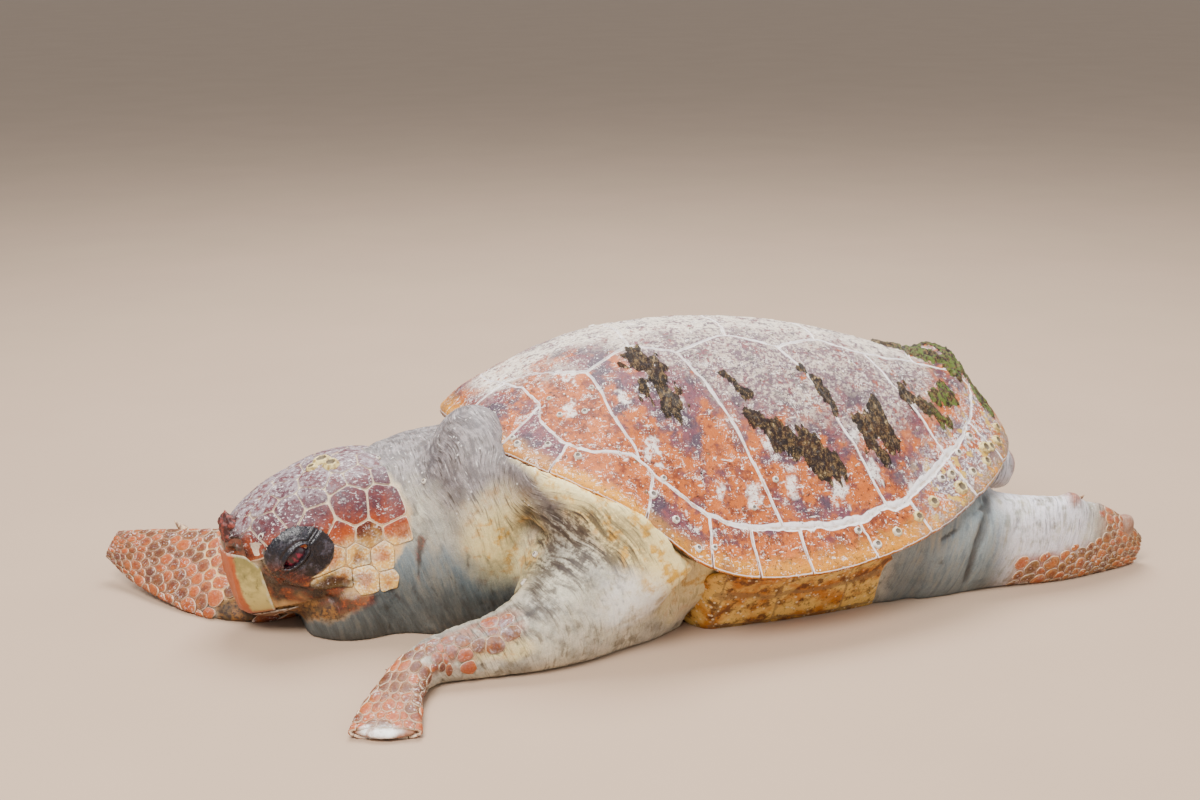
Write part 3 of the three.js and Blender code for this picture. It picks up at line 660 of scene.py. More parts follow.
# a plate: the plan patch between four edges, laid on the dome with its own relief, closed round its edge
# below
def addPlate(name, edges, wide, tone, finish, rimPlate=False, flip=False, seed=0):
    front, rear, left, right = edges
    ends = [edge(np.array([0.0, 0.5, 1.0])) for edge in edges]
    lengths = [distance(np.diff(end, axis=0)).sum() for end in ends]
    a = stations(max(lengths[2], lengths[3]), relief["step"])[:, None]
    b = stations(max(lengths[0], lengths[1]), relief["step"])[None, :]
    inA = 2 * seamHalf / (lengths[2] + lengths[3])
    inB = 2 * seamHalf / (lengths[0] + lengths[1])
    aa, bb = mix(inA, 1 - inA, a), mix(inB, 1 - inB, b)
    leftAt, rightAt = left(aa[:, 0])[:, None], right(aa[:, 0])[:, None]
    frontAt, rearAt = front(bb[0])[None], rear(bb[0])[None]
    corners = [front(0.0), front(1.0), rear(0.0), rear(1.0)]
    sheet = mix(leftAt, rightAt, bb[..., None]) + mix(frontAt, rearAt, aa[..., None])
    plan = sheet - mix(
        mix(corners[0], corners[1], bb[..., None]), mix(corners[2], corners[3], bb[..., None]), aa[..., None]
    )
    if flip:
        plan = plan * np.array([1, -1])
    plan = wander(plan)
    x, y = plan[..., 0], plan[..., 1]
    span = [distance(plan[-1] - plan[0])[None], distance(plan[:, -1] - plan[:, 0])[:, None]]
    # front, rear, left, right
    away = [a * span[0] + 0 * b, (1 - a) * span[0] + 0 * b, b * span[1] + 0 * a, (1 - b) * span[1] + 0 * a]
    share, turn = ringPlace(x, y)
    # the margin's seam is broad at the left rear
    thick = smooth(turn, 84, 104) * smooth(turn, 152, 134) * smooth(-y, 0, 60)
    edge = np.min(
        [d / (mix(w[0], w[1], thick) if isinstance(w, list) else w) for d, w in zip(away, wide)], axis=0
    )
    near = np.min(away, axis=0)
    z = domeAt(x, y)
    place = stacked(x, y, z)
    layers = shellLayers(x, y, z, share)
    grow = np.sin(
        2 * np.pi * near / relief["growthStep"] + 2.2 * noiseAt(place, 50, seed + 7)
    ) * relief["growth"]
    bare = 1 - smooth(layers["mud"], 0.05, 0.4)
    rough = (
        0.8 * noiseAt(place, 42, 11, 2) + 0.5 * noiseAt(place, 12, 12, 2)
        + 2.2 * layers["grit"] * noiseAt(place, 9, 16, 2)
    )
    flake = (
        -1.0 * smooth(noiseAt(place, 26, 13 + seed % 5, 3), 0.2, 0.26)
        - 0.5 * smooth(noiseAt(place, 13, 18, 3), 0.25, 0.3)
    )
    rise = rough - 0.6 + (grow * smooth(near, 2, 9) * smooth(near, 75, 25) + flake) * bare
    rise = rise + 0.7 * layers["crust"] * (0.5 + noiseAt(place, 5, 14, 1)) * bare
    torn = noiseAt(place * [1.0, 0.45, 1.0], 6, 15, 3)
    rise = rise + layers["mud"] * 5 * (0.7 + 1.1 * torn)
    fall = arch(1 - np.minimum(near / relief["edgeRound"], 1))
    rise = rise - relief["edgeDrop"] * (1 - fall)
    if rimPlate:
        outer = away[3]
        roundness = 1 - arch(1 - np.minimum(outer / relief["rimRound"], 1))
        rise = rise - 4 * roundness
        pinch = smooth(outer, 16, 0) * (
            1.2 + 3.0 * smooth(np.minimum(away[0], away[1]), 14, 0) * smooth(x, 100, 300)
        )
        toMiddle = unit(stacked(middleX - x, -y))
        x, y = x + toMiddle[..., 0] * pinch, y + toMiddle[..., 1] * pinch
    top = stacked(x, y, z + rise)
    rows, columns = x.shape
    loop = edgeLoop(rows, columns)
    flat = top.reshape(-1, 3)
    centre = flat[:, :2].mean(0)
    rings = []
    for size in underRings:
        under = centre + (flat[loop, :2] - centre) * size
        base = rimAt(under[:, 0]) if rimPlate else domeAt(under[:, 0], under[:, 1])
        rings.append(np.column_stack([under, base - shellThick + 0.4]))
    centreBase = rimAt(centre[0]) if rimPlate else domeAt(centre[0], centre[1])
    rings.append(np.array([[centre[0], centre[1], centreBase - shellThick + 0.4]]))
    count, start = len(loop), len(flat)
    points = np.concatenate([flat] + rings)
    k = np.arange(count)
    after = (k + 1) % count
    quads = [gridFaces(rows, columns), stacked(loop[k], loop[after], start + after, start + k)]
    for level in range(len(underRings) - 1):
        low = start + level * count
        quads.append(stacked(low + k, low + after, low + count + after, low + count + k))
    tip = start + len(underRings) * count
    triangles = stacked(tip - count + k, tip - count + after, np.full(count, tip))
    extra = len(points) - len(flat)
    rimTone = np.full(x.shape, 0.95) * mix(0.8, 1.0, smooth(turn, 72, 60))
    seamTone = np.where(np.abs(share - aimAt(y, turn)) < 0.045, 1.0, mix(0.68, 0.95, smooth(turn, 60, 120)))
    layers.update({
        "edge": np.minimum(edge, 6), "tone": np.full(x.shape, tone), "rimTone": rimTone, "seamTone": seamTone
    })
    layers["moss"] = np.clip(smooth(x, 250, 300) + blob(place, [-150, -60, 387], [90, 50, 30]), 0, 1)
    flatLayers = {key: chained(value.ravel(), np.full(extra, value.mean())) for key, value in layers.items()}
    name, node = name.replace("_", "-"), name
    addPiece(
        name, tilted(points), np.concatenate(quads), triangles, finish, flatLayers, replaces=(node,)
    )


shellPaint = {
    "orange": "#ad5510", "rust": "#76300e", "purple": "#653644", "slate": "#39323f", "yellow": "#d08a0a",
    "seam": "#f1eaea", "crust": "#f1e8e0", "film": "#6f5a60", "sand": "#bfae9e", "mud": "#150e07",
    "clay": "#5e4a2b", "moss": "#4d5f1e", "dark": "#190c0a",
}


def shellFinish():
    p, c = Paint("shellPlate"), shellPaint
    tone, edge, out, mud = (p.layer(name) for name in ("tone", "edge", "out", "mud"))
    large, middle, small = p.noise(95, 4), p.noise(26, 4, shift=1.3), p.noise(8, 5, 0.65, shift=2.1)
    fine, grain = p.noise(3.2, 4, 0.7, shift=2.9), p.noise(1.4, 2, shift=3.9)
    purple = (tone + (large - 0.5) * 1.2 + (middle - 0.5) * 1.0 + out.ramp(0.78, 0.4) * 0.3).ramp(0.36, 0.62)
    p.colour = p.mix(c["orange"], c["rust"], (middle * 0.5 + small * 0.5).ramp(0.46, 0.56))
    p.lay("#cf6f2a", (p.noise(30, 4, shift=9.1) * 0.6 + fine * 0.4).ramp(0.52, 0.6) * 0.5)
    p.lay(c["purple"], purple * (0.5 + small * 0.8))
    p.lay(c["slate"], (purple * p.noise(38, 4, shift=3.3).ramp(0.47, 0.58)) * 0.8)
    band = (out + (middle - 0.5) * 0.09).ramp(0.93, 0.985)
    p.lay(c["yellow"], band * (1 - purple * 0.4) * p.layer("rimTone"))
    p.lay(c["dark"], (fine * 0.6 + small * 0.4).ramp(0.53, 0.62) * 0.6)
    film = p.layer("film") * (p.noise(22, 5, 0.75, shift=5.1) * 0.5 + small * 0.5).ramp(0.41, 0.48)
    speck = p.noise(5.5, 3, 0.6, shift=5.7)
    filmColour = p.mix(c["film"], c["sand"], (speck * 0.7 + middle * 0.3).ramp(0.46, 0.56))
    filmColour = p.mix(
        filmColour, "#39333d", p.noise(30, 4, 0.7, shift=2.5).ramp(0.54, 0.62) * speck.ramp(0.4, 0.55) * 0.8
    )
    crest = p.layer("crest") * (middle * 0.4 + speck * 0.6).ramp(0.4, 0.5)
    filmColour = p.mix(filmColour, "#eadcc8", crest * 0.85)
    p.lay(filmColour, film * 0.9)
    crust = (p.noise(13, 5, 0.8, shift=4.4) * 0.7 + grain * 0.3 + p.layer("crust") * 0.04).ramp(0.585, 0.61)
    p.lay(c["crust"], crust * 0.7)
    scratch = p.noise(3.0, 3, 0.6, stretch=(0.25, 1.0, 1.0), shift=5.9).ramp(0.61, 0.65)
    scratch = scratch.most(p.noise(3.0, 3, 0.6, stretch=(1.0, 0.3, 0.6), shift=8.9).ramp(0.62, 0.66))
    p.lay(c["crust"], scratch * p.noise(30, 3, shift=6.8).ramp(0.44, 0.56) * 0.75)
    dots = p.cells(8.5).ramp(0.2, 0.13) * p.noise(34, 3, shift=7.7).ramp(0.54, 0.6)
    p.lay(c["crust"], dots * 0.8)
    patch = p.layer("patch") * (small * 0.5 + fine * 0.5 + middle * 0.2).ramp(0.53, 0.6)
    p.lay(c["crust"], patch * 0.8)
    grit = p.layer("grit") * (small * 0.5 + fine * 0.5).ramp(0.5, 0.56)
    p.lay("#6f6068", p.layer("grit") * middle.ramp(0.42, 0.56) * 0.7)
    p.lay(c["seam"], grit * 0.8)
    p.lay("#c9a13f", p.layer("grit") * p.noise(15, 4, shift=8.2).ramp(0.58, 0.62) * 0.9)
    p.lay("#7d5a25", p.layer("grit") * out.ramp(0.96, 0.985) * small.ramp(0.45, 0.55) * 0.8)
    seam = (edge + (p.noise(11, 4, shift=6.2) - 0.5) * 0.6).ramp(1.15, 0.85)
    p.lay(c["seam"], seam * (p.noise(7, 4, shift=7.2).ramp(0.25, 0.5) * 0.4 + 0.58) * p.layer("seamTone"))
    muddy = (mud + (small - 0.5) * 1.3 + (fine - 0.5) * 0.9).ramp(0.2, 0.28)
    strand = p.noise(5.5, 4, 0.7, stretch=(1.0, 0.4, 0.7), shift=9.9)
    mudColour = p.mix(c["mud"], c["clay"], (strand * 0.75 + grain * 0.25).ramp(0.48, 0.6))
    mudColour = p.mix(mudColour, "#a8926a", (strand * 0.5 + small * 0.5).ramp(0.58, 0.64) * 0.7)
    mudColour = p.mix(mudColour, c["moss"], p.layer("moss") * small.ramp(0.47, 0.56) * 0.9)
    p.lay(mudColour, muddy * 0.95)
    p.shade(grain, 0.6)
    rough = (0.3 + 0.3 * fine + film * 0.3).most(muddy * 0.95)
    bump = p.bump(small * 0.4 + fine * 0.45 + grain * 0.15, 2.4)
    return p.finish(rough, bump, Specular_IOR_Level=0.35)


shellMaterial = shellFinish()
seamWidths = {"vertebral": 1.2, "costal": 1.1, "margin": [0.9, 3.4], "marginal": 0.8, "rim": 0.01}


shellSides = (("left", False), ("right", True))


def addShell():
    w, t = seamWidths, plateTones
    addPlate(
        "nuchal", nuchalEdges(), [w["marginal"], w["marginal"], w["marginal"], w["rim"]], t["nuchal"],
        shellMaterial, True, seed=1
    )
    for k in range(5):
        addPlate(
            f"vertebral_{k + 1}", vertebralEdges(k), [w["vertebral"]] * 4, t["vertebral"][k], shellMaterial,
            seed=10 + k
        )
        for side, flip in shellSides:
            wide = [w["costal"], w["costal"], w["vertebral"], w["margin"]]
            addPlate(
                f"costal_{side}_{k + 1}", costalEdgesOf(k), wide, t["costal"][k] + 0.1 * flip, shellMaterial,
                False, flip, 20 + k + 7 * flip
            )
    for k in range(12):
        for side, flip in shellSides:
            wide = [w["marginal"], w["marginal"], [half * 0.6 for half in w["margin"]], w["rim"]]
            tone = t["marginal"][(k + 5 * flip) % 12]
            addPlate(
                f"marginal_{side}_{k + 1}", marginalEdgesOf(k), wide, tone, shellMaterial, True, flip,
                40 + k + 13 * flip
            )


addShell()
print("shell plates made")


# the bed that shows between the plates: the dome again, a little lower, as a thin closed sheet
def addSeamBed():
    shares = chained(np.linspace(0.02, 0.8, 60), np.linspace(0.81, 0.955, 30))
    turns = np.linspace(0, 360, 361)[:-1]
    share, turn = np.meshgrid(shares, turns, indexing="ij")
    half = np.where(turn <= 180, turn, 360 - turn)
    plan = ringPoint(half, share) * stacked(np.ones_like(turn), np.where(turn <= 180, 1, -1))
    x, y = plan[..., 0], plan[..., 1]
    z = domeAt(x, y)
    place = stacked(x, y, z)
    rise = 0.5 * noiseAt(place, 9, 51, 2) + 0.8 * noiseAt(place, 42, 11, 2) - 0.6
    top = stacked(x, y, z - 2.0 + rise).reshape(-1, 3)
    low = stacked(x, y, z - 5.0).reshape(-1, 3)
    rows, columns = share.shape
    middle = [[middleX, 0, float(domeAt(np.array(middleX * 1.0), np.array(0.0))) + d] for d in (-2.4, -5.0)]
    points = chained(top, low, middle)
    count = rows * columns
    k = np.arange(columns)
    after = (k + 1) % columns
    outerTop, outerLow = (rows - 1) * columns, count + (rows - 1) * columns
    quads = chained(
        gridFaces(rows, columns, 0, True), gridFaces(rows, columns, count, True)[:, ::-1],
        stacked(outerTop + after, outerTop + k, outerLow + k, outerLow + after),
    )
    triangles = chained(
        stacked(after, k, np.full(columns, 2 * count))[:, ::-1],
        stacked(count + k, count + after, np.full(columns, 2 * count + 1))[:, ::-1],
    )
    p = Paint("seamBed")
    p.colour = p.mix("#e3dcd6", "#b59a88", p.noise(14, 4).ramp(0.4, 0.68))
    p.lay("#6d5147", p.noise(5, 4, shift=2.0).ramp(0.56, 0.72) * 0.6)
    material = p.finish(0.6 + 0.2 * p.noise(6), p.bump(p.noise(2.5, 4), 0.8))
    addPiece("seam-bed", tilted(points), quads, triangles, material)


addSeamBed()
print("seam bed made")


# ---- the plastron with its bridges
plastron = {
    "front": -300, "rear": 330, "thick": 12, "lobe": 200, "bridge": 0.9, "flat": 0.8, "rise": 26, "gap": 20
}
plastronSeams = [0.16, 0.3, 0.45, 0.62, 0.8]  # shares of its length where the plates of each side meet


def bridgeShare(share):
    return smooth(share, 0.2, 0.3) * (1 - smooth(share, 0.7, 0.84))


# half widths and heights as in the solids: lobes before and behind, bridges that rise to the rim; grooves
# where plates meet
def addPlastron():
    share = chained([0, 0.002, 0.006], np.linspace(0.012, 0.988, 150), [0.994, 0.998, 1])[:, None]
    v = chained(np.linspace(-1, -0.8, 26), np.linspace(-0.79, 0.79, 76), np.linspace(0.8, 1, 26))[None]
    x = mix(plastron["front"], plastron["rear"], share)
    lobe = plastron["lobe"] * arch(2 * share - 1, 4) + 12
    half = mix(lobe, plastron["bridge"] * halfWidthAt(x), bridgeShare(share))
    edgeY = np.sign(v) * plastron["bridge"] * halfWidthAt(x)
    rimPoint = tilted(stacked(x + 0 * v, edgeY, rimAt(x) - shellThick + 0 * v))
    meets = rimPoint[..., 2] - plastron["gap"]
    up = smooth(np.abs(v), plastron["flat"], 1)
    ends = plastron["rise"] * np.maximum(np.abs(2 * share - 1) - 0.8, 0) * 5
    base = mix(14 + 0 * v, meets, bridgeShare(share)) * up + ends
    y = v * half
    place = stacked(x + 0 * v, y, base)
    bend = 0.012 * noiseAt(place, 60, 61)
    apart = (
        np.min([np.abs(share + bend - s) for s in plastronSeams], axis=0)
        * (plastron["rear"] - plastron["front"])
    )
    apart = np.minimum(apart, np.abs(y + 5 * noiseAt(place, 50, 62)))
    for at, seed in ((0.83, 63), (0.92, 64)):
        lane = np.abs(np.abs(v) - at + 0.02 * noiseAt(place, 40, seed)) * half
        apart = np.minimum(apart, lane + (1 - bridgeShare(share)) * 30)
    groove = 1.4 * smooth(apart, 3.5, 0.5)
    lip = smooth(np.minimum(share, 1 - share) * 630, 0, 9) * smooth((1 - np.abs(v)) * half, 0, 6)
    swell = 0.9 * noiseAt(place, 45, 65)
    low = np.maximum(base + groove + swell * up + (1 - lip) * 4.0, 0)
    low = np.where((up < 0.02) & (ends < 0.5), np.maximum(groove, 0), low)
    top = base + plastron["thick"] - (1 - lip) * 4.0
    under = stacked(x + 0 * v, y, low)
    over = stacked(x + 0 * v, y, np.maximum(top, low + 1.5))
    points = chained(under.reshape(-1, 3), over.reshape(-1, 3))
    p = Paint("plastronHorn")
    p.colour = p.mix("#b8701f", "#e0b45c", p.noise(40, 4).ramp(0.4, 0.6))
    p.lay("#54280f", p.noise(20, 5, 0.65, shift=1.0).ramp(0.48, 0.62) * 0.85)
    p.lay("#8a6a42", (p.layer("groove") + p.noise(8, 3) * 0.6).ramp(0.8, 1.2) * 0.7)
    p.lay("#e6d3a8", p.cells(9).ramp(0.3, 0.18) * p.noise(36, 3, shift=4.0).ramp(0.42, 0.56) * 0.8)
    p.lay("#2f2118", p.noise(5, 5, 0.7, shift=2.0).ramp(0.56, 0.64) * 0.7)
    material = p.finish(0.45 + 0.3 * p.noise(15), p.bump(p.noise(5, 5), 1.0))
    layers = {"groove": np.concatenate([smooth(apart, 5, 1).ravel()] * 2)}
    quads = sheetFaces(*base.shape)
    addPiece(
        "plastron-shell", points, quads, np.zeros((0, 3)), material, layers, replaces=("plastron",)
    )


addPlastron()
print("plastron made")

# ---- the flesh: [x, y, z, half width, up, down] along each part's own line, as in the solids
fleshLines = {
    "trunk": [[-345, -5, 155, 205, 110, 160], [-300, -5, 155, 262, 130, 175], [-200, 0, 150, 294, 170, 185],
              [-60, 0, 150, 292, 200, 185], [80, 0, 150, 276, 200, 210], [200, 0, 150, 270, 180, 260],
              [310, 0, 145, 236, 130, 185], [385, 0, 140, 150, 90, 130]],
    "neck": [[-250, 0, 145, 200, 120, 190], [-330, -8, 145, 205, 120, 195], [-410, -15, 143, 198, 118, 200],
             [-480, -22, 138, 182, 122, 200], [-525, -26, 122, 156, 132, 190], [-560, -30, 84, 126, 160, 150],
             [-600, -32, 58, 132, 90, 105], [-640, -33, 44, 122, 50, 80], [-676, -33, 34, 88, 22, 60]],
    "head": [[10, 0, 0, 76, 92, 84], [-45, 0, 0, 98, 114, 100], [-100, 0, 0, 106, 118, 104],
             [-150, 0, 0, 103, 108, 100], [-190, 0, 0, 89, 98, 95], [-222, 0, 0, 69, 84, 90],
             [-250, 0, 0, 49, 66, 82], [-267, 0, 0, 33, 46, 68]],
    "frontLeft": [[-225, -190, 125, 112, 100, 175], [-285, -237, 100, 102, 95, 140],
                  [-340, -275, 72, 78, 72, 95],
                  [-390, -296, 54, 58, 50, 66], [-440, -300, 42, 48, 38, 50], [-490, -303, 37, 42, 32, 44],
                  [-530, -310, 33, 35, 27, 39], [-562, -337, 28, 31, 20, 32], [-589, -380, 21, 35, 15, 25],
                  [-608, -425, 15, 43, 11, 18], [-621, -468, 10, 48, 8, 12]],
    "frontRight": [[-230, 170, 125, 105, 100, 150], [-310, 225, 100, 95, 90, 115],
                   [-400, 235, 75, 72, 66, 84],
                   [-490, 205, 58, 58, 50, 64], [-570, 140, 50, 58, 40, 54], [-650, 65, 46, 74, 28, 36],
                   [-730, 32, 46, 84, 20, 24], [-795, 62, 51, 75, 15, 17], [-850, 114, 51, 60, 12, 13],
                   [-902, 174, 51, 43, 9, 10], [-943, 216, 57, 23, 6, 6]],
    "hindLeft": [[240, -170, 95, 95, 74, 130], [320, -182, 88, 80, 66, 110], [400, -200, 76, 56, 62, 86],
                 [470, -212, 68, 36, 66, 76], [530, -210, 58, 24, 58, 64], [585, -202, 42, 15, 40, 46],
                 [630, -190, 24, 9, 20, 26]],
    "hindRight": [[240, 150, 95, 90, 80, 130], [310, 182, 84, 78, 74, 106], [370, 222, 62, 64, 54, 72],
                  [420, 268, 40, 60, 34, 46], [462, 318, 22, 56, 18, 26], [490, 362, 12, 42, 9, 14]],
    "tail": [[350, -5, 150, 60, 55, 62], [410, -12, 140, 58, 48, 54], [455, -18, 128, 48, 42, 42],
             [485, -20, 120, 32, 32, 34]],
    "collar": [[-418, -128, 262, 22, 26, 60], [-386, -198, 256, 26, 27, 66], [-346, -250, 242, 27, 27, 70],
               [-298, -285, 224, 27, 27, 78], [-248, -310, 202, 26, 26, 98], [-202, -325, 166, 24, 25, 112],
               [-160, -328, 126, 18, 22, 98]],
}
rolls = {"frontRight": [0, 0, 0, 0, -8, -20, -32, -42, -46, -50, -50]}  # degrees about the line
caps = {"trunk": (20, 20), "neck": (20, 12), "head": (14, 6), "frontLeft": (16, 24), "frontRight": (16, 18),
        "hindLeft": (16, 16), "hindRight": (16, 12), "tail": (10, 14), "collar": (10, 12)}
swell = {"at": [-424, -108, 181], "reach": [82, 120, 146]}
lid = {"at": [-174, 82, 23], "reach": [57, 27, 46]}
# on the toes' upper edge: [x, y, z, radius]
knobs = [[490, -214, 124, 17], [538, -212, 104, 15], [598, -200, 72, 18]]
eyeball = {"at": [-180, 86, 21], "reach": [25, 19, 21]}
slit = {"at": [-183, 23], "along": [0.825, 0.566], "half": 22, "open": 7.6}
mouth = {"height": -57, "slope": 0.1459, "at": -150}
skinDepth = 2.0  # how far the skin lies inside the solids
headTurn = rotation("z", 6) @ rotation("y", -10)
headAt = np.array([-520.0, -32.0, 150.0])


def fromHead(points):
    return points @ headTurn.T + headAt


def toHead(points):
    return (points - headAt) @ headTurn


# a closed form along a line: each section is a superellipse, cos and sin to the power 2/n times the half
# width and height
def loftGrid(name, along, around, grow=0.0, power=2.3, upright=False):
    rows = np.array(fleshLines[name], float)
    last = len(rows) - 1
    keys = np.arange(last + 1)
    t = np.linspace(0, last, along + 1)
    centre = lambda at: through(keys, rows[:, :3], at)
    forward = centre(np.minimum(t + 0.05, last)) - centre(np.maximum(t - 0.05, 0))
    if upright:
        forward[:, 2] = 0
    forward = unit(forward)
    side = unit(stacked(-forward[:, 1], forward[:, 0], np.zeros(len(t))))
    turn = np.radians(through(keys, rolls.get(name, 0 * keys), t))[:, None]
    side = side * np.cos(turn) + np.cross(forward, side) * np.sin(turn)
    upward = np.cross(forward, side)
    wide, up, down = (through(keys, rows[:, k], t)[:, None] + grow for k in (3, 4, 5))
    angle = circle(around)[None]
    lateral = signedPower(np.cos(angle), 2 / power) * wide
    rise = signedPower(np.sin(angle), 2 / power) * np.where(np.sin(angle) > 0, up, down)
    grid = centre(t)[:, None] + lateral[..., None] * side[:, None] + rise[..., None] * upward[:, None]
    tips = []
    for end, cap, inner in ((0, caps[name][0], 0.3), (last, caps[name][1], last - 0.3)):
        tip = centre(np.array([float(end)]))
        tips.append((tip + unit(tip - centre(np.array([inner]))) * (cap + grow))[0])
    return grid, np.array(tips)


def closedLoft(name, along, around, grow, power=2.3, upright=False):
    grid, tips = loftGrid(name, along, around, grow, power, upright)
    quads, triangles = tubeFaces(*grid.shape[:2])
    return chained(grid.reshape(-1, 3), tips), quads, triangles[:, [0, 2, 1]]  # the remesh reads its caps so


# a ball of given reaches, its poles closed
def ballMesh(centre, reach, rings=24, around=36):
    a = np.linspace(0, np.pi, rings + 1)[1:-1, None]
    b = circle(around)[None]
    grid = stacked(np.sin(a) * np.cos(b), np.sin(a) * np.sin(b), np.cos(a) + 0 * b)
    points = chained(grid.reshape(-1, 3), [[0, 0, 1], [0, 0, -1]]) * reach + centre
    return points, *tubeFaces(rings - 1, around)


# the height of the mouth's line along the head
def mouthAt(x):
    return mouth["height"] + mouth["slope"] * (x - mouth["at"])


# how far forward the head's scaly skin reaches back over the neck, at a height in the head's own frame
def headBack(z):
    return -14 - 80 * np.clip((56 - z) / 116, 0, 1.2) ** 2.0 - 34 * np.clip((z - 56) / 60, 0, 1) ** 2


# where the golden band runs round the shoulder
goldBand = [
    [-372, -215, 284], [-345, -262, 262], [-298, -308, 226], [-240, -334, 186], [-161, -345, 124],
    [-100, -310, 84],
]


# the marks of the flesh and the painted shade under the neck and the groin, from 0 to 1 each, from the place
# alone, so that skin and scales carry the same ones
def markingsAndShade(points):
    q = toHead(points)
    x, y, z = points[..., 0], points[..., 1], points[..., 2]
    hx, hy, hz = q[..., 0], q[..., 1], q[..., 2]
    wave = noiseAt(points, 38, 71, 3)
    small = noiseAt(points, 11, 72, 3)
    inReach = smooth(np.hypot(hy / 1.0, hz / 1.05), 175, 150) * smooth(hx, -300, -285)
    low = mix(-116, mix(-94, -80, smooth(hx, -150, -110)), smooth(hx, -205, -170))
    head = smooth(headBack(hz) - hx + 5 * small, -5, 5) * inReach * smooth(hz + 8 * small, low, low + 22)
    left = smooth(-y, -20, 40)
    lidPlace = stacked((hx - lid["at"][0]) / 52, (np.abs(hy) - lid["at"][1]) / 46, (hz - lid["at"][2]) / 42)
    slate = smooth(distance(lidPlace) + 0.12 * small, 1.2, 0.98) * head
    mouthLine = mouthAt(hx)
    jaw = smooth(mouthLine - hz, -5, 3) * smooth(head, 0, 0.4) * smooth(hx, -90, -150)
    drip, dripRun = pathAt(points, [[-517, -168, 150], [-520, -166, 120], [-523, -163, 82]])
    blood = most(
        blob(q, [-206, -76, -20], [42, 38, 38], wave=0.4, size=14, seed=3),
        blob(q, [-160, -98, -40], [46, 32, 22], wave=0.5, size=12, seed=4),
        blob(q, [-116, -110, -68], [36, 26, 11], wave=0.5, size=12, seed=5) * 0.9,
        blob(q, [-256, -6, 54], [22, 28, 26], wave=0.4, size=12, seed=6),
        blob(q, [-260, -30, 36], [30, 32, 22], wave=0.3, size=10, seed=7),
        smooth(drip - 5 * (1 - dripRun) + 3 * small, 4, 0) * 0.8,
    )
    cheek = smooth(hz - 0.25 * (hx + 100), 34, 8) * head
    band, bandRun = pathAt(points, goldBand)
    wide = mix(30, 74, smooth(bandRun, 0.05, 0.7))
    gold = most(
        blob(points, [-412, -238, 160], [52, 50, 66], soft=0.6, seed=7),
        smooth(band + 14 * wave, wide, wide * 0.4),
        blob(points, [-240, -330, 90], [60, 40, 50], seed=8) * 0.1,
        blob(points, [-140, -320, 70], [56, 60, 70], soft=0.5, seed=14) * 0.85,
        blob(points, [-455, -350, 48], [50, 60, 16], wave=0.5, seed=13) * 0.6,
    )
    ridge, ridgeRun = pathAt(
        points, [[-345, -250, 190], [-380, -325, 105], [-440, -335, 72], [-520, -325, 56]]
    )
    soot = most(
        blob(points, [-330, -285, 172], [98, 80, 64], wave=0.3, soft=0.5, seed=9),
        smooth(ridge + 14 * wave, 46, 8) * mix(0.9, 0.5, ridgeRun),
        blob(points, [-372, -160, 262], [44, 70, 40], wave=0.4, seed=10) * 0.6,
    )
    plum = most(
        smooth(z + 20 * wave + 14 * small, 165, 245) * smooth(x, -300, -350) * (1 - 0.5 * head),
        smooth(z + 20 * wave, 70, 115) * smooth(x, 380, 430) * 0.6,
        smooth(z + 16 * wave, 34, 62) * smooth(x, -400, -460) * smooth(-y, 270, 300) * 0.4,
    )
    arm, _ = pathAt(points, [[-440, -330, 78], [-490, -334, 62], [-560, -352, 44]])
    rust = most(
        smooth(z + 18 * wave, 66, 46) * smooth(x, 362, 400) * smooth(-y, -10, 60),
        smooth(x + 14 * wave, 515, 560) * 0.75,
        smooth(z - 0.3 * (x - 480) + 8 * wave, 112, 128) * smooth(x, 470, 490) * left,
        smooth(x + 0.25 * (y + 330), -545, -585) * smooth(-y, 300, 320),
        smooth(x, -540, -610) * smooth(y, 0, 30) * (1 - inReach), smooth(x, 380, 430) * smooth(y, 240, 280),
        smooth(arm + 12 * wave, 40, 20) * smooth(small + 0.2, -0.2, 0.1) * 0.7,
    )
    milk = most(
        blob(points, [-634, -486, 10], [24, 30, 22], wave=0.5, size=14, seed=11),
        0.6 * blob(points, [-262, -318, 96], [60, 40, 44], seed=12),
    )
    # low: the blue-grey of the throat and lower neck, a real tone, laid stronger downwards as partly painted
    # shade
    low = (
        smooth(z + 24 * wave, 200, 120) * smooth(x, -350, -400) * (1 - head) * smooth(-y, -60, 0)
        * smooth(-y, 290, 245)
    )
    # deep: painted shade, darker towards the underside of the neck, and at half strength at the foot of the
    # groin
    deep = low * smooth(z + 14 * wave, 150, 50)
    groin = smooth(x, 130, 190) * smooth(x, 400, 350) * left
    deep = np.maximum(deep, groin * smooth(z, 105, 30) * 0.5)
    pale = smooth(noiseAt(points, 60, 73, 3) + 0.3 * left, 0.0, 0.5) * (1 - low) * (1 - groin)
    lilac = smooth(x, 330, 400) * smooth(x, 540, 480) * left
    return {
        "blue": np.clip(low + 0.9 * groin, 0, 1), "deep": deep, "lilac": lilac,
        "head": head, "slate": slate, "jaw": jaw, "blood": np.clip(blood, 0, 1), "cheek": cheek,
        "gold": gold, "soot": soot,
        "plum": plum, "rust": rust, "milk": milk, "pale": pale,
    }


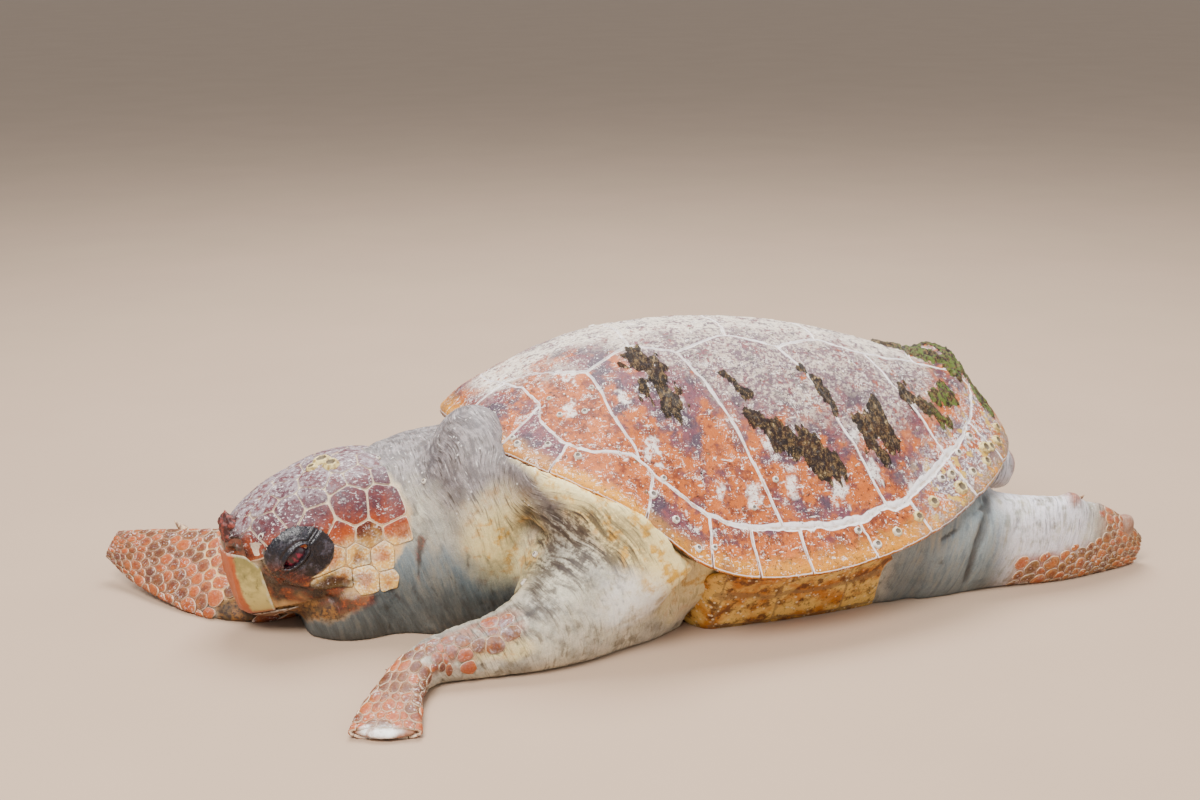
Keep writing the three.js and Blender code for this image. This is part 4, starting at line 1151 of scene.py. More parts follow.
def skinFinish():
    p = Paint("turtleSkin")
    large, middle, small = p.noise(70, 4), p.noise(18, 4, 0.6, shift=1.7), p.noise(5, 4, 0.65, shift=2.9)
    grain, ripple = p.noise(1.6, 3, shift=3.4), p.layer("ripple")
    folds, hair = p.lines(ripple, 7, 42), p.lines(ripple, 2.6, 26, 5.0)
    p.colour = p.mix("#908b7e", "#c8c0a8", (large * 0.6 + folds * 0.4).ramp(0.42, 0.58))
    p.lay("#6a604f", (middle * 0.5 + folds * 0.5).ramp(0.5, 0.6) * 0.65)
    # blue-grey of the throat and groin, partly painted shade towards the underside
    p.lay("#64757e", p.layer("blue") * (large * 0.5 + folds * 0.5).ramp(0.34, 0.54) * 0.9)
    # painted shade: dark grey under the neck and at the foot of the groin
    p.lay("#3f4240", p.layer("deep") * (0.5 + folds * 0.7))
    p.lay("#d3c9b4", p.layer("pale") * (middle * 0.5 + large * 0.5).ramp(0.58, 0.4) * 0.6)
    p.lay(p.mix("#50464a", "#918788", (middle * 0.5 + folds * 0.5).ramp(0.42, 0.6)), p.layer("plum") * 0.9)
    p.lay("#dcd6dc", p.layer("lilac") * (middle * 0.5 + folds * 0.5).ramp(0.36, 0.54) * 0.9)
    p.lay(p.mix("#d39f2c", "#f2dc98", middle.ramp(0.36, 0.52)), p.layer("gold") * 0.94)
    soot = p.layer("soot") * (folds * 0.6 + small * 0.35 + middle * 0.3).ramp(0.5, 0.68)
    p.lay("#3a2b22", soot * 0.9)
    p.lay("#914c2a", p.layer("rust") * (0.5 + small * 0.6))
    lines = (hair * 0.6 + folds * 0.4).ramp(0.52, 0.62) * (1 - p.layer("head"))
    share = 0.35 + 0.5 * p.layer("plum") + 0.45 * p.layer("soot") - 0.15 * p.layer("blue")
    p.lay("#372c26", lines * share)
    p.lay("#cdb795", p.layer("head"))
    p.lay("#d09a4a", p.layer("cheek") * (0.4 + middle * 0.6))
    p.lay(p.mix("#76480f", "#3f2a10", middle.ramp(0.4, 0.6)), p.layer("jaw") * 0.95)
    p.lay("#22100a", p.layer("jaw") * small.ramp(0.5, 0.58) * 0.8)
    p.lay(p.mix("#17141a", "#4b4650", (middle * 0.6 + small * 0.4).ramp(0.48, 0.66)), p.layer("slate"))
    raw = p.mix("#1c0906", p.mix("#5a1d0c", "#9a4a1a", small.ramp(0.5, 0.66)), middle.ramp(0.4, 0.6))
    p.lay(raw, p.layer("blood") * (0.75 + small * 0.4))
    p.lay("#f6f3ee", p.layer("milk") * middle.ramp(0.3, 0.55))
    # painted shade in the troughs of the wrinkles and along the sunk creases
    p.lay("#2e2622", (1 - p.layer("fold").ramp(0.05, 0.5)) * 0.7)
    specks = p.cells(9).ramp(0.22, 0.14) * p.noise(40, 3, shift=4.0).ramp(0.5, 0.6)
    specks = specks.most(hair.ramp(0.37, 0.3) * 0.8)
    p.lay("#e6e0da", specks * p.layer("plum") * 0.7)
    p.shade(grain, 0.45)
    rough = 0.52 + 0.16 * middle - p.layer("slate") * 0.34 - p.layer("blood") * 0.3
    bump = p.bump(folds * 0.5 + small * 0.3, 2.2)
    bump = p.bump(hair * 0.7 + grain * 0.3, 0.9, bump)
    return p.finish(rough, bump, Subsurface_Weight=0.04, Subsurface_Scale=0.01)


wrinkles = {
    "neck": {"step": 11, "depth": 1.0}, "throat": {"step": 30, "depth": 1.6},
    "shoulder": {"step": 12, "depth": 1.2},
    "voxel": 5.3, "fine": 0.4,
}


# creases of the flesh: a path in the turtle's or the head's frame, half width, depth (a ridge where negative)
creases = {
    "cheek ridge": (
        "head",
        [
            [-214, -72, -14], [-186, -90, -26], [-161, -99, -30], [-144, -99, -50], [-112, -110, -68],
            [-80, -112, -80]
        ],
        7, -4.0
    ),
    "cheek groove": (
        "head", [[-205, -76, -24], [-170, -95, -42], [-146, -97, -60], [-112, -108, -80], [-76, -110, -92]],
        4, 4.0
    ),
    "jaw crease": ("head", [[-176, -88, -52], [-190, -80, -72], [-205, -64, -90]], 3, 3.0),
    "jaw back": (
        "world",
        [[-588, -160, 82], [-556, -160, 104], [-536, -160, 150], [-534, -142, 200], [-548, -110, 238]], 4,
        2.2
    ),
    "armpit": (
        "world",
        [[-384, -190, 262], [-372, -236, 210], [-388, -256, 150], [-404, -262, 96], [-420, -250, 40]], 9, 6.0
    ),
    "shoulder fold": (
        "world", [[-352, -250, 232], [-346, -296, 190], [-372, -332, 128], [-398, -330, 90]], 7, 3.5
    ),
    "groin": (
        "world",
        [
            [360, -180, 176], [344, -222, 143], [324, -251, 114], [310, -262, 84], [304, -256, 45],
            [300, -245, 4]
        ],
        8, 9.0
    ),
    "groin high": ("world", [[333, -231, 139], [263, -259, 108], [196, -281, 80], [150, -290, 50]], 3.5, 6.0),
    "thigh": ("world", [[392, -240, 130], [372, -258, 96], [352, -262, 60], [350, -258, 20]], 5, 3.0),
    "belly roll": ("world", [[250, -262, 66], [215, -275, 42], [180, -280, 20]], 4, 2.0),
}


elbow = np.array([-470, -330, 30])


def foldsAt(points, q, marks):
    x, y, z = points.T
    wave, small = noiseAt(points, 46, 81, 2), noiseAt(points, 15, 82, 2)
    neck = smooth(x, -600, -560) * smooth(x, -380, -420) * (1 - marks["head"])
    rib = ribs((x + 0.35 * (z - 120)) / wrinkles["neck"]["step"] + 1.5 * wave + 0.5 * small)
    depth = neck * wrinkles["neck"]["depth"] * (rib ** 0.6 - 0.7) * smooth(z, 290, 200)
    big = ribs((x + 0.5 * (z - 100)) / wrinkles["throat"]["step"] + 0.5 * wave)
    depth += neck * wrinkles["throat"]["depth"] * (big ** 0.5 - 0.75) * smooth(z, 180, 90)
    away = distance(points - elbow)
    shoulder = smooth(away, 300, 230) * smooth(away, 60, 110) * smooth(-y, 200, 235)
    rib = ribs(away / wrinkles["shoulder"]["step"] + 1.6 * wave + 0.7 * small)
    depth += shoulder * wrinkles["shoulder"]["depth"] * (rib ** 0.6 - 0.7)
    hind = smooth(x, 380, 420) * smooth(x, 600, 540)
    rib = ribs((x - 0.3 * z) / 13 + 1.4 * wave + 0.6 * small)
    depth += hind * 0.9 * (rib ** 0.6 - 0.7)
    fore = smooth(x, -400, -430) * smooth(x, -560, -520) * smooth(-y, 230, 260)
    rib = ribs((x + 0.6 * z) / 12 + 1.3 * wave + 0.7 * small)
    depth += fore * 1.2 * (rib ** 0.6 - 0.7)
    depth += wrinkles["fine"] * noiseAt(points, 7, 83, 1) + 0.8 * noiseAt(points, 34, 84, 2)
    # fold: painted shade, lower in the troughs of the wrinkles and along the creases that sink
    fold = np.clip(0.6 + depth / 3, 0, 1)
    for place, path, width, deep in creases.values():
        reach, _ = pathAt(q if place == "head" else points, path)
        line = bell(reach, width)
        depth -= deep * line
        fold -= 0.8 * line * (deep > 0)
    return depth, np.clip(fold, 0, 1)


# millimetres across the wrinkles: along the neck, out from the elbow, along the arm and the thigh, blended
def rippleAt(points):
    x, y, z = points.T
    wave = noiseAt(points, 60, 85, 2)
    neck = x + 0.35 * (z - 120) + 12 * wave
    shoulder = distance(points - elbow) - 522 + 14 * wave
    arm = x + 0.6 * z - 75 + 8 * wave
    back = x - 0.3 * z + 8 * wave
    value = mix(neck, shoulder, smooth(-y, 190, 260) * smooth(x, -440, -390))
    value = mix(value, arm, smooth(-y, 240, 290) * smooth(x, -380, -430))
    return mix(value, back, smooth(x, -140, -60))


# the lids and the mouth, in the head's frame: how far the skin moves along its normal
def faceAt(q):
    depth, hole = np.zeros(len(q)), np.zeros(len(q))
    for side in (-1, 1):
        u = (q[:, 0] - slit["at"][0]) * slit["along"][0] + (q[:, 2] - slit["at"][1]) * slit["along"][1]
        w = -(q[:, 0] - slit["at"][0]) * slit["along"][1] + (q[:, 2] - slit["at"][1]) * slit["along"][0]
        near = smooth(side * q[:, 1], 70, 84)
        half = arch(u / slit["half"]) * slit["open"]
        out = np.abs(w) - half + 6 * smooth(np.abs(u), slit["half"], slit["half"] + 6)
        opening = smooth(out, 1.0, -1.6) * near
        hole = np.maximum(hole, opening)
        depth += near * (2.2 * bell(out - 3, 2.6) - 1.0 * bell(out - 8, 1.8) + 0.8 * bell(out - 12, 2.4))
        lidRound = np.sqrt(((q[:, 0] - lid["at"][0]) / 58) ** 2 + ((q[:, 2] - lid["at"][2]) / 47) ** 2)
        depth -= near * 3.0 * bell(lidRound - 1.04, 0.09)
    mouthLine = mouthAt(q[:, 0])
    lip = bell(q[:, 2] - mouthLine, 2.6) * smooth(q[:, 0], -66, -90)
    depth -= 3.5 * lip
    for side in (-1, 1):
        pit = distance((q - [-257, side * 31, 31]) / [12, 9, 8])
        depth -= 7 * smooth(pit, 1, 0.4)
        depth += 2.2 * bell(pit - 1.25, 0.3)
    return depth, hole


def vertexNormals(points, triangles):
    a, b, c = (points[triangles[:, k]] for k in range(3))
    face = np.cross(b - a, c - a)
    normals = np.zeros_like(points)
    for k in range(3):
        for axis in range(3):
            normals[:, axis] += np.bincount(triangles[:, k], face[:, axis], len(points))
    return unit(normals)


# each point drawn towards the mean of its neighbours, so many times
def relaxed(points, edges, times, share=0.5):
    count = np.bincount(edges.ravel(), minlength=len(points))[:, None]
    for _ in range(times):
        total = np.zeros_like(points)
        for axis in range(3):
            total[:, axis] = np.bincount(edges[:, 0], points[edges[:, 1], axis], len(points))
            total[:, axis] += np.bincount(edges[:, 1], points[edges[:, 0], axis], len(points))
        points = points + (total / np.maximum(count, 1) - points) * share
    return points


def meshArrays(mesh):
    points = np.empty(len(mesh.vertices) * 3, np.float32)
    mesh.vertices.foreach_get("co", points)
    edges = np.empty(len(mesh.edges) * 2, np.int32)
    mesh.edges.foreach_get("vertices", edges)
    mesh.calc_loop_triangles()
    triangles = np.empty(len(mesh.loop_triangles) * 3, np.int32)
    mesh.loop_triangles.foreach_get("vertices", triangles)
    return points.reshape(-1, 3).astype(float) / mm, edges.reshape(-1, 2), triangles.reshape(-1, 3)


# no flesh above the underside of the plates or below the floor, apart from the swollen neck
def kept(points):
    local = untilted(points)
    x, y = local[:, 0], local[:, 1]
    share, _ = ringPlace(x, y)
    ceiling = np.where(share < ring - 0.02, domeAt(x, y), rimAt(x)) - shellThick - 5
    ceiling = mix(ceiling, rimAt(x) - shellThick - 5, smooth(share, ring - 0.06, ring - 0.02))
    ball = distance((points - swell["at"]) / np.asarray(swell["reach"]))
    free = (ball < 1.03) & (x < -300) | (share > 1.0) | (x < shellFront + 2)
    local[:, 2] = np.where(free, local[:, 2], np.minimum(local[:, 2], ceiling))
    points = tilted(local)
    points[:, 2] = np.maximum(points[:, 2], 0.4)
    return points


# fewer faces where the plates and the plastron hide the flesh
def thinned(mesh, points):
    mesh.vertices.foreach_set("co", (points * mm).astype(np.float32).ravel())
    local = untilted(points)
    share, _ = ringPlace(local[:, 0], local[:, 1])
    hidden = (share < 0.83) & (local[:, 2] > rimAt(local[:, 0]) + 4) & (toHead(points)[:, 0] > 150)
    hidden |= (
        (np.abs(points[:, 1]) < 190) & (points[:, 0] > -250) & (points[:, 0] < 280) & (points[:, 2] < 60)
    )
    body = placed("thinFlesh", mesh)
    group = body.vertex_groups.new(name="hidden")
    group.add(np.nonzero(hidden)[0].tolist(), 1.0, "REPLACE")
    thin = body.modifiers.new("thin", "DECIMATE")
    shown = 1 - hidden.mean()
    thin.ratio, thin.vertex_group, thin.vertex_group_factor = min(shown + 0.03, 1.0), "hidden", 10.0
    graph = bpy.context.evaluated_depsgraph_get()
    made = bpy.data.meshes.new_from_object(body.evaluated_get(graph))
    bpy.data.objects.remove(body)
    points, _, triangles = meshArrays(made)
    return points, triangles


def addSkin():
    parts = []
    for name, along, around, power, upright in (
        ("trunk", 60, 72, 2.3, False), ("neck", 60, 64, 2.3, True), ("head", 60, 64, 2.5, False),
        ("frontLeft", 90, 40, 2.3, False), ("frontRight", 100, 48, 2.3, False),
        ("hindLeft", 60, 40, 2.3, False), ("hindRight", 50, 40, 2.3, False),
        ("tail", 24, 28, 2.3, False), ("collar", 60, 36, 2.3, False),
    ):
        points, quads, triangles = closedLoft(name, along, around, -skinDepth, power, upright)
        parts.append((fromHead(points) if name == "head" else points, quads, triangles))
    points, quads, triangles = ballMesh(np.array(swell["at"]), np.array(swell["reach"]) - skinDepth)
    parts.append((points, quads, triangles))
    for x, y, z, radius in knobs:
        parts.append(ballMesh(np.array([x, y, z], float), radius, 12, 18))
    for side in (-1, 1):
        centre = np.array([lid["at"][0], side * lid["at"][1], lid["at"][2]])
        points, quads, triangles = ballMesh(centre, np.array(lid["reach"]) - 0.5)
        parts.append((fromHead(points), quads, triangles))
    offset, allPoints, allFaces = 0, [], []
    for points, quads, triangles in parts:
        if volumeOf(points - points.mean(0), quads, triangles) < 0:
            quads, triangles = quads[:, ::-1], triangles[:, ::-1]
        allPoints.append(points * mm)
        allFaces += (quads + offset).tolist() + (triangles + offset).tolist()
        offset += len(points)
    raw = bpy.data.meshes.new("rawFlesh")
    raw.from_pydata(np.concatenate(allPoints).tolist(), [], allFaces)
    body = placed("rawFlesh", raw)
    remesh = body.modifiers.new("join", "REMESH")
    remesh.mode, remesh.voxel_size = "VOXEL", wrinkles["voxel"] * mm
    graph = bpy.context.evaluated_depsgraph_get()
    joined = bpy.data.meshes.new_from_object(body.evaluated_get(graph))
    bpy.data.objects.remove(body)
    points, edges, triangles = meshArrays(joined)
    points = relaxed(points, edges, 8)
    points = kept(points)
    points = relaxed(points, edges, 2)
    soft = (
        blob(points, [-500, -110, 240], [60, 130, 50]) + blob(points, [-395, -250, 190], [40, 60, 70]) * 0.7
    )
    points = mix(points, kept(relaxed(points, edges, 40)), np.clip(soft, 0, 1)[:, None])
    soft = blob(points, [-175, -335, 95], [120, 70, 90], soft=0.45)
    points = mix(points, kept(relaxed(points, edges, 130)), soft[:, None])
    print("flesh joined:", len(points), "points")
    points, triangles = thinned(joined, points)
    print("flesh thinned where it is hidden:", len(points), "points")
    points, edges, triangles = refined(points, triangles)
    normals = vertexNormals(points, triangles)
    q = toHead(points)
    marks = markingsAndShade(points)
    depth, fold = foldsAt(points, q, marks)
    face, hole = faceAt(q)
    held = smooth(points[:, 2], 0.5, 6)
    points = points + normals * (depth * held + face)[:, None]
    inward = fromHead(
        np.column_stack([q[:, 0], q[:, 1] - np.sign(q[:, 1]) * 16 * hole, q[:, 2]])
    ) - fromHead(q)
    points = points + inward
    points[:, 2] = np.maximum(points[:, 2], 0.3)
    marks |= {"fold": fold, "ripple": rippleAt(points)}
    names = (
        "head", "neck", "trunk", "tail", "flipper_front_left", "flipper_front_right", "flipper_hind_left",
        "flipper_hind_right"
    )
    print("skin triangles:", len(triangles))
    return addPiece(
        "skin", points, np.zeros((0, 4)), triangles, skinFinish(), marks, replaces=names, turn=False
    )


# the three sides of every triangle, each from its lower point to its higher
def sidesOf(triangles):
    return np.sort(np.stack([triangles[:, [0, 1]], triangles[:, [1, 2]], triangles[:, [2, 0]]], 1), axis=2)


# the triangles near the face are halved, so that lids and nostrils have room for their folds
def refined(points, triangles):
    for reach in (1.0, 0.8):
        q = toHead(points)
        eye = distance((q - [lid["at"][0] - 4, 0, lid["at"][2] - 4]) / (np.array([62, 1e6, 54]) * reach))
        near = (eye < 1) & (np.abs(q[:, 1]) > 45) & (q[:, 0] > -300)
        nose = distance((q - [-256, 0, 34]) / (np.array([34, 56, 34]) * reach)) < 1
        near = near | nose
        chosen = near[triangles].all(axis=1)
        points, triangles = halved(points, triangles, chosen)
    return points, np.unique(sidesOf(triangles).reshape(-1, 2), axis=0), triangles


# splits the chosen triangles in four and their neighbours to match, with a new point on each edge that is
# split
def halved(points, triangles, chosen):
    sides = sidesOf(triangles)
    keys = sides[..., 0].astype(np.int64) * len(points) + sides[..., 1]
    split = np.unique(keys[chosen])
    made = (points[split // len(points)] + points[split % len(points)]) / 2
    index = np.searchsorted(split, keys)
    index = np.clip(index, 0, len(split) - 1)
    has = split[index] == keys
    new = index + len(points)
    a, b, c = triangles.T
    ab, bc, ca = new.T
    count = has.sum(1)
    result = [triangles[count == 0]]
    m = count == 3
    for face in ((a, ab, ca), (ab, b, bc), (ca, bc, c), (ab, bc, ca)):
        result.append(np.stack([f[m] for f in face], -1))
    for turn in range(3):
        order = [(turn + k) % 3 for k in range(3)]
        p, q, r = (triangles[:, k] for k in order)
        pq, qr = (new[:, k] for k in order[:2])
        m = (count == 1) & has[:, order[0]]
        result += [stacked(p[m], pq[m], r[m]), stacked(pq[m], q[m], r[m])]
        m = (count == 2) & has[:, order[0]] & has[:, order[1]]
        result += [stacked(p[m], pq[m], r[m]), stacked(pq[m], qr[m], r[m]), stacked(pq[m], q[m], qr[m])]
    return chained(points, made), np.concatenate(result)


skin = addSkin()
print("skin made")


# ---- scales: cells round seeds in a plane, each one a low dome that is laid on a sheet of the skin
# the reach of each cell in each direction is the least over its neighbours of (d.d + w - w') / 2(d.e), less
# half the gap
def cellReaches(seeds, weights, directions, gap, period=None, most=None):
    others, otherWeights = seeds, weights
    if period:
        others = chained(seeds, seeds + [0, period], seeds - [0, period])
        otherWeights = np.tile(weights, 3)
    angle = circle(directions)
    facing = stacked(np.cos(angle), np.sin(angle))
    d = others[None] - seeds[:, None]
    square = (d ** 2).sum(-1)
    square[np.arange(len(seeds)), np.arange(len(seeds))] = np.inf
    near = np.argsort(square, axis=1)[:, :22]
    d = np.take_along_axis(d, near[..., None], 1)
    square = np.take_along_axis(square, near, 1)
    lift = weights[:, None] - otherWeights[near]
    dot = d @ facing.T
    bound = np.where(dot > 1e-6, (square + lift)[..., None] / 2 / np.maximum(dot, 1e-6), np.inf)
    reach = bound.min(1) - gap / 2
    if most is not None:
        reach = np.minimum(reach, most)
    around = (np.roll(reach, 1, 1) + np.roll(reach, -1, 1)) / 2
    return np.minimum(reach, mix(reach, around, 0.55)), facing


# a grid that is closed round, read between its points: a rows along it and b columns round it
def readGrid(values, a, b):
    rows, columns = values.shape[:2]
    i, j = np.clip(np.floor(a).astype(int), 0, rows - 2), np.floor(b).astype(int) % columns
    after, shape = (j + 1) % columns, a.shape + (1,) * (values.ndim - 2)
    s, t = (a - i).reshape(shape), (b - np.floor(b)).reshape(shape)
    return mix(mix(values[i, j], values[i, after], t), mix(values[i + 1, j], values[i + 1, after], t), s)


# a sheet of skin that is closed round: points, normals, and the lengths along and around it
class Sheet:
    def __init__(self, grid):
        rows = []
        for row in grid:
            loop = np.vstack([row, row[:1]])
            run = chained([0], np.cumsum(distance(np.diff(loop, axis=0))))
            even = np.linspace(0, run[-1], len(row) + 1)[:-1]
            rows.append(np.stack([np.interp(even, run, loop[:, k]) for k in range(3)], -1))
        self.points = np.array(rows)
        along = np.gradient(self.points, axis=0)
        around = np.roll(self.points, -1, 1) - np.roll(self.points, 1, 1)
        normals = unit(np.cross(along, around))
        outward = self.points - self.points.mean(1, keepdims=True)
        self.normals = normals * np.sign((normals * outward).sum(-1).mean())
        middle = self.points.mean(1)
        self.length = distance(np.diff(middle, axis=0)).sum()
        self.around = distance(np.diff(self.points, axis=1)).sum(1).mean()

    def read(self, values, u, v):
        rows, columns = self.points.shape[:2]
        return readGrid(values, np.clip(u / self.length, 0, 1) * (rows - 1), (v / self.around % 1) * columns)

    def at(self, u, v, height):
        return self.read(self.points, u, v) + self.read(self.normals, u, v) * height[..., None]


# the points of all the scales at once: rings from a sunk edge over a rounded shoulder to the middle
def scaleCells(
    seeds, weights, place, directions, gap, height, rings, period=None, most=None, grain=0.0, seed=0,
    drawn=None
):
    reach, facing = cellReaches(seeds, weights, directions, gap, period, most)
    good = (reach.min(1) > 0.8) & (True if drawn is None else drawn)
    seeds, reach = seeds[good], reach[good]
    height = np.broadcast_to(height, len(good))[good]
    count, levels = len(seeds), len(rings)
    share, lift = np.array(rings).T
    flat = seeds[:, None, None] + reach[:, None, :, None] * facing[None, None] * share[None, :, None, None]
    rise = np.broadcast_to(lift[None, :, None], flat.shape[:3]) * height[:, None, None]
    rise = np.where(lift[None, :, None] < 0, lift[None, :, None] * 2.0, rise)
    if grain:
        stir = noiseAt(np.concatenate([flat, np.zeros(flat.shape[:3] + (1,))], -1), 6, seed, 2)
        rise = rise + grain * stir * np.clip(lift, 0, 1)[None, :, None]
    tops = rise[:, -1].mean(1)
    points = chained(
        place(flat.reshape(-1, 2), rise.ravel()), place(seeds, tops), place(seeds, np.full(count, -2.4)),
    )
    plane = chained(flat.reshape(-1, 2), seeds, seeds)
    quads, triangles = ringFaces(count, levels, directions)
    random = np.random.default_rng(seed).random(count)
    layer = lambda values: chained(np.repeat(values, levels * directions), values, values)
    shareLayer = chained(
        np.broadcast_to(1 - share[None, :, None], flat.shape[:3]).ravel(), np.ones(count), np.zeros(count)
    )
    return points, plane, quads, triangles, {"tint": layer(random), "rise": shareLayer}


scalePaint = {
    "deep": "#551f0e", "warm": "#a0420f", "pale": "#cf7a44", "plum": "#4b2733", "cream": "#ead5b8",
    "blood": "#1c0906", "cheek": "#dfae5c",
}


def scaleFinish():
    p, c = Paint("scaleHorn"), scalePaint
    middle, small, fine = p.noise(16, 4), p.noise(7, 5, 0.7, shift=3.3), p.noise(3, 4, shift=1.4)
    tint, rise = p.layer("tint"), p.layer("rise")
    p.colour = p.mix(c["warm"], c["deep"], (tint * 0.5 + middle * 0.5 + small * 0.3).ramp(0.45, 0.8))
    p.lay(c["pale"], (fine * 0.5 + small * 0.5).ramp(0.52, 0.64) * 0.3)
    p.lay(c["plum"], p.layer("plumTone") * (0.5 + small * 0.8))
    p.lay("#2f1a26", p.layer("plumTone") * (small * 0.6 + middle * 0.4).ramp(0.5, 0.6) * 0.6)
    soft = (rise + (middle - 0.5) * 2.2 + (small - 0.5) * 0.8).ramp(0.95, -0.1)
    p.lay(
        p.mix(c["cheek"], "#efdcae", (middle * 0.5 + fine * 0.5).ramp(0.45, 0.58)),
        p.layer("cheekTone") * (0.2 + soft * 0.8)
    )
    p.lay(c["cream"], (rise + (fine - 0.5) * 0.12).ramp(0.075, 0.025) * p.layer("lineTone"))
    p.lay("#6b4228", rise.ramp(0.035, 0.012) * p.layer("cheekTone") * 0.7)
    # grey patches on the flippers; on the head plates the same layer lays a painted highlight along the crown
    p.lay("#a3969a", p.layer("grey") * (small * 0.6 + middle * 0.4).ramp(0.42, 0.56) * 1.3)
    p.lay("#f4f0ea", p.layer("milk") * middle.ramp(0.3, 0.55))
    p.lay(c["blood"], p.layer("blood") * 0.9)
    flecks = (small.ramp(0.58, 0.64)).most(
        p.noise(2.4, 3, 0.6, stretch=(0.4, 1, 1), shift=2.2).ramp(0.6, 0.66)
    )
    p.lay("#f0e6e2", flecks * (p.noise(34, 3, shift=6.0).ramp(0.42, 0.6) * 0.5 + p.layer("plumTone") * 0.35))
    p.shade(fine, 0.5)
    rough = 0.34 + 0.3 * middle
    return p.finish(rough, p.bump(small * 0.6 + fine * 0.4, 1.4), Specular_IOR_Level=0.35)


flipperScales = {
    "frontLeft": {
        "from": 0.38, "size": 27, "height": 1.6, "lead": 0.5, "name": "scales-front-left", "patchy": 0.25,
        "cream": 0.12
    },
    "frontRight": {
        "from": 0.3, "size": 25, "height": 1.8, "lead": 0.0, "name": "scales-front-right", "patchy": 0.0,
        "cream": 0.12
    },
    "hindLeft": {
        "from": 0.3, "size": 19, "height": 1.5, "lead": 0.75, "name": "scales-hind-left", "patchy": 0.5,
        "cream": 0.25
    },
    "hindRight": {
        "from": 0.35, "size": 20, "height": 1.6, "lead": 0.5, "name": "scales-hind-right", "patchy": 0.0,
        "cream": 0.2
    },
}
smallRings = [(1.0, -1), (0.98, 0.45), (0.86, 0.9), (0.45, 1.0)]
scaleMaterial = scaleFinish()


# seeds in staggered rows, stirred a little
def staggered(low, high, around, size, stir, seed):
    random = np.random.default_rng(seed)
    rows = np.arange(low, high, size * 0.87)
    count = max(int(round(around / size)), 4)
    u, k = np.meshgrid(rows, np.arange(count), indexing="ij")
    v = (k + 0.5 * (np.arange(len(rows)) % 2)[:, None]) * around / count
    seeds = stacked(u, v).reshape(-1, 2)
    return seeds + (random.random(seeds.shape) - 0.5) * size * stir


def fleshSheet(name, along, around):
    grid, _ = loftGrid(name, along, around, -skinDepth, 2.3, False)
    sheet = Sheet(grid)
    points = sheet.points.reshape(-1, 3)
    depth, _ = foldsAt(points, toHead(points), markingsAndShade(points))
    rise = (depth * smooth(points[:, 2], 0.5, 6)).reshape(sheet.points.shape[:2] + (1,))
    sheet.points = sheet.points + sheet.normals * (rise * 0.8)
    sheet.points[..., 2] = np.maximum(sheet.points[..., 2], 0.3)
    return sheet


def addFlipperScales():
    for number, (name, s) in enumerate(flipperScales.items()):
        sheet = fleshSheet(name, 160, 96)
        low = s["from"] * sheet.length
        seeds = staggered(low, sheet.length - 2, sheet.around, s["size"], 0.34, 90 + number)
        lead = np.cos(2 * np.pi * (seeds[:, 1] / sheet.around - s["lead"]))
        weights = (s["size"] ** 2) * (0.16 * lead + 0.4 * np.random.default_rng(number).random(len(seeds)))
        height = s["height"] * smooth(seeds[:, 0], low - 5, low + 60)

        def place(plane, rise):
            points = sheet.at(plane[:, 0], plane[:, 1], rise)
            points[:, 2] = np.maximum(points[:, 2], 0.2)
            return points

        rust = markingsAndShade(place(seeds, np.zeros(len(seeds))))["rust"]
        drawn = rust + 0.3 * (np.random.default_rng(40 + number).random(len(seeds)) - 0.3) >= s["patchy"]
        points, plane, quads, triangles, layers = scaleCells(
            seeds, weights, place, 14, 1.2, height, smallRings, sheet.around, s["size"] * 0.85, 0.3,
            110 + number, drawn
        )
        marks = markingsAndShade(points)
        grey = np.clip(marks["plum"] + marks["soot"], 0, 1) * 0.6 * (1 - marks["rust"])
        layers.update({"plumTone": 0.3 * marks["plum"] + 0.1, "grey": grey, "milk": marks["milk"],
                       "blood": marks["blood"],
                       "cheekTone": np.full(len(points), s["cream"]), "lineTone": np.full(len(points), 0.75)})
        bake = np.column_stack([
            0.05 + 0.9 * plane[:, 0] / sheet.length, 0.08 + 0.84 * (plane[:, 1] / sheet.around % 1)
        ])
        addPiece(s["name"], points, quads, triangles, scaleMaterial, layers, bake)


addFlipperScales()
print("flipper scales made")


# ---- the head's plates: [place along the head, degrees round from the crown, weight], on both sides unless
# at 0 degrees
headPlates = [
    [-250, 0, -40], [-246, 28, 0], [-224, 8, 120], [-238, 48, 60], [-208, 44, 200], [-200, 0, 0],
    [-196, 24, 80], [-172, 40, 220], [-170, 18, 140], [-150, 0, 160], [-140, 57, 220], [-138, 38, 60],
    [-122, 22, 260], [-108, 0, 420], [-86, 53, 620], [-96, 34, 60], [-78, 15, 500], [-66, 34, 300],
    [-44, 58, 760], [-40, 18, 260], [-30, 36, 200], [-56, 0, 200], [-112, 72, 200], [-76, 78, 260],
    [-34, 82, 260], [-132, 88, 260], [-98, 92, 200], [-62, 97, 220], [-128, 106, 120], [-96, 110, 220],
    [-64, 114, 160],
]
# places behind the head whose cells bound its last plates and aren't made
behindHead = [
    [-8, 0], [-2, 20], [0, 38], [6, 58], [5, 82], [-26, 103], [-34, 123], [-64, 130], [-96, 129], [-128, 126]
]
fieldStart, fieldLength = -290, 350  # where the head's radius is read, along its axis
headRound = 105.0  # the radius that turns degrees into millimetres in the plan of the plates
plateRings = [
    (1.0, -1), (1.0, 0.1), (0.985, 0.5), (0.955, 0.85), (0.9, 1.0), (0.72, 1.05), (0.55, 1.05), (0.36, 1.0),
    (0.18, 0.98)
]


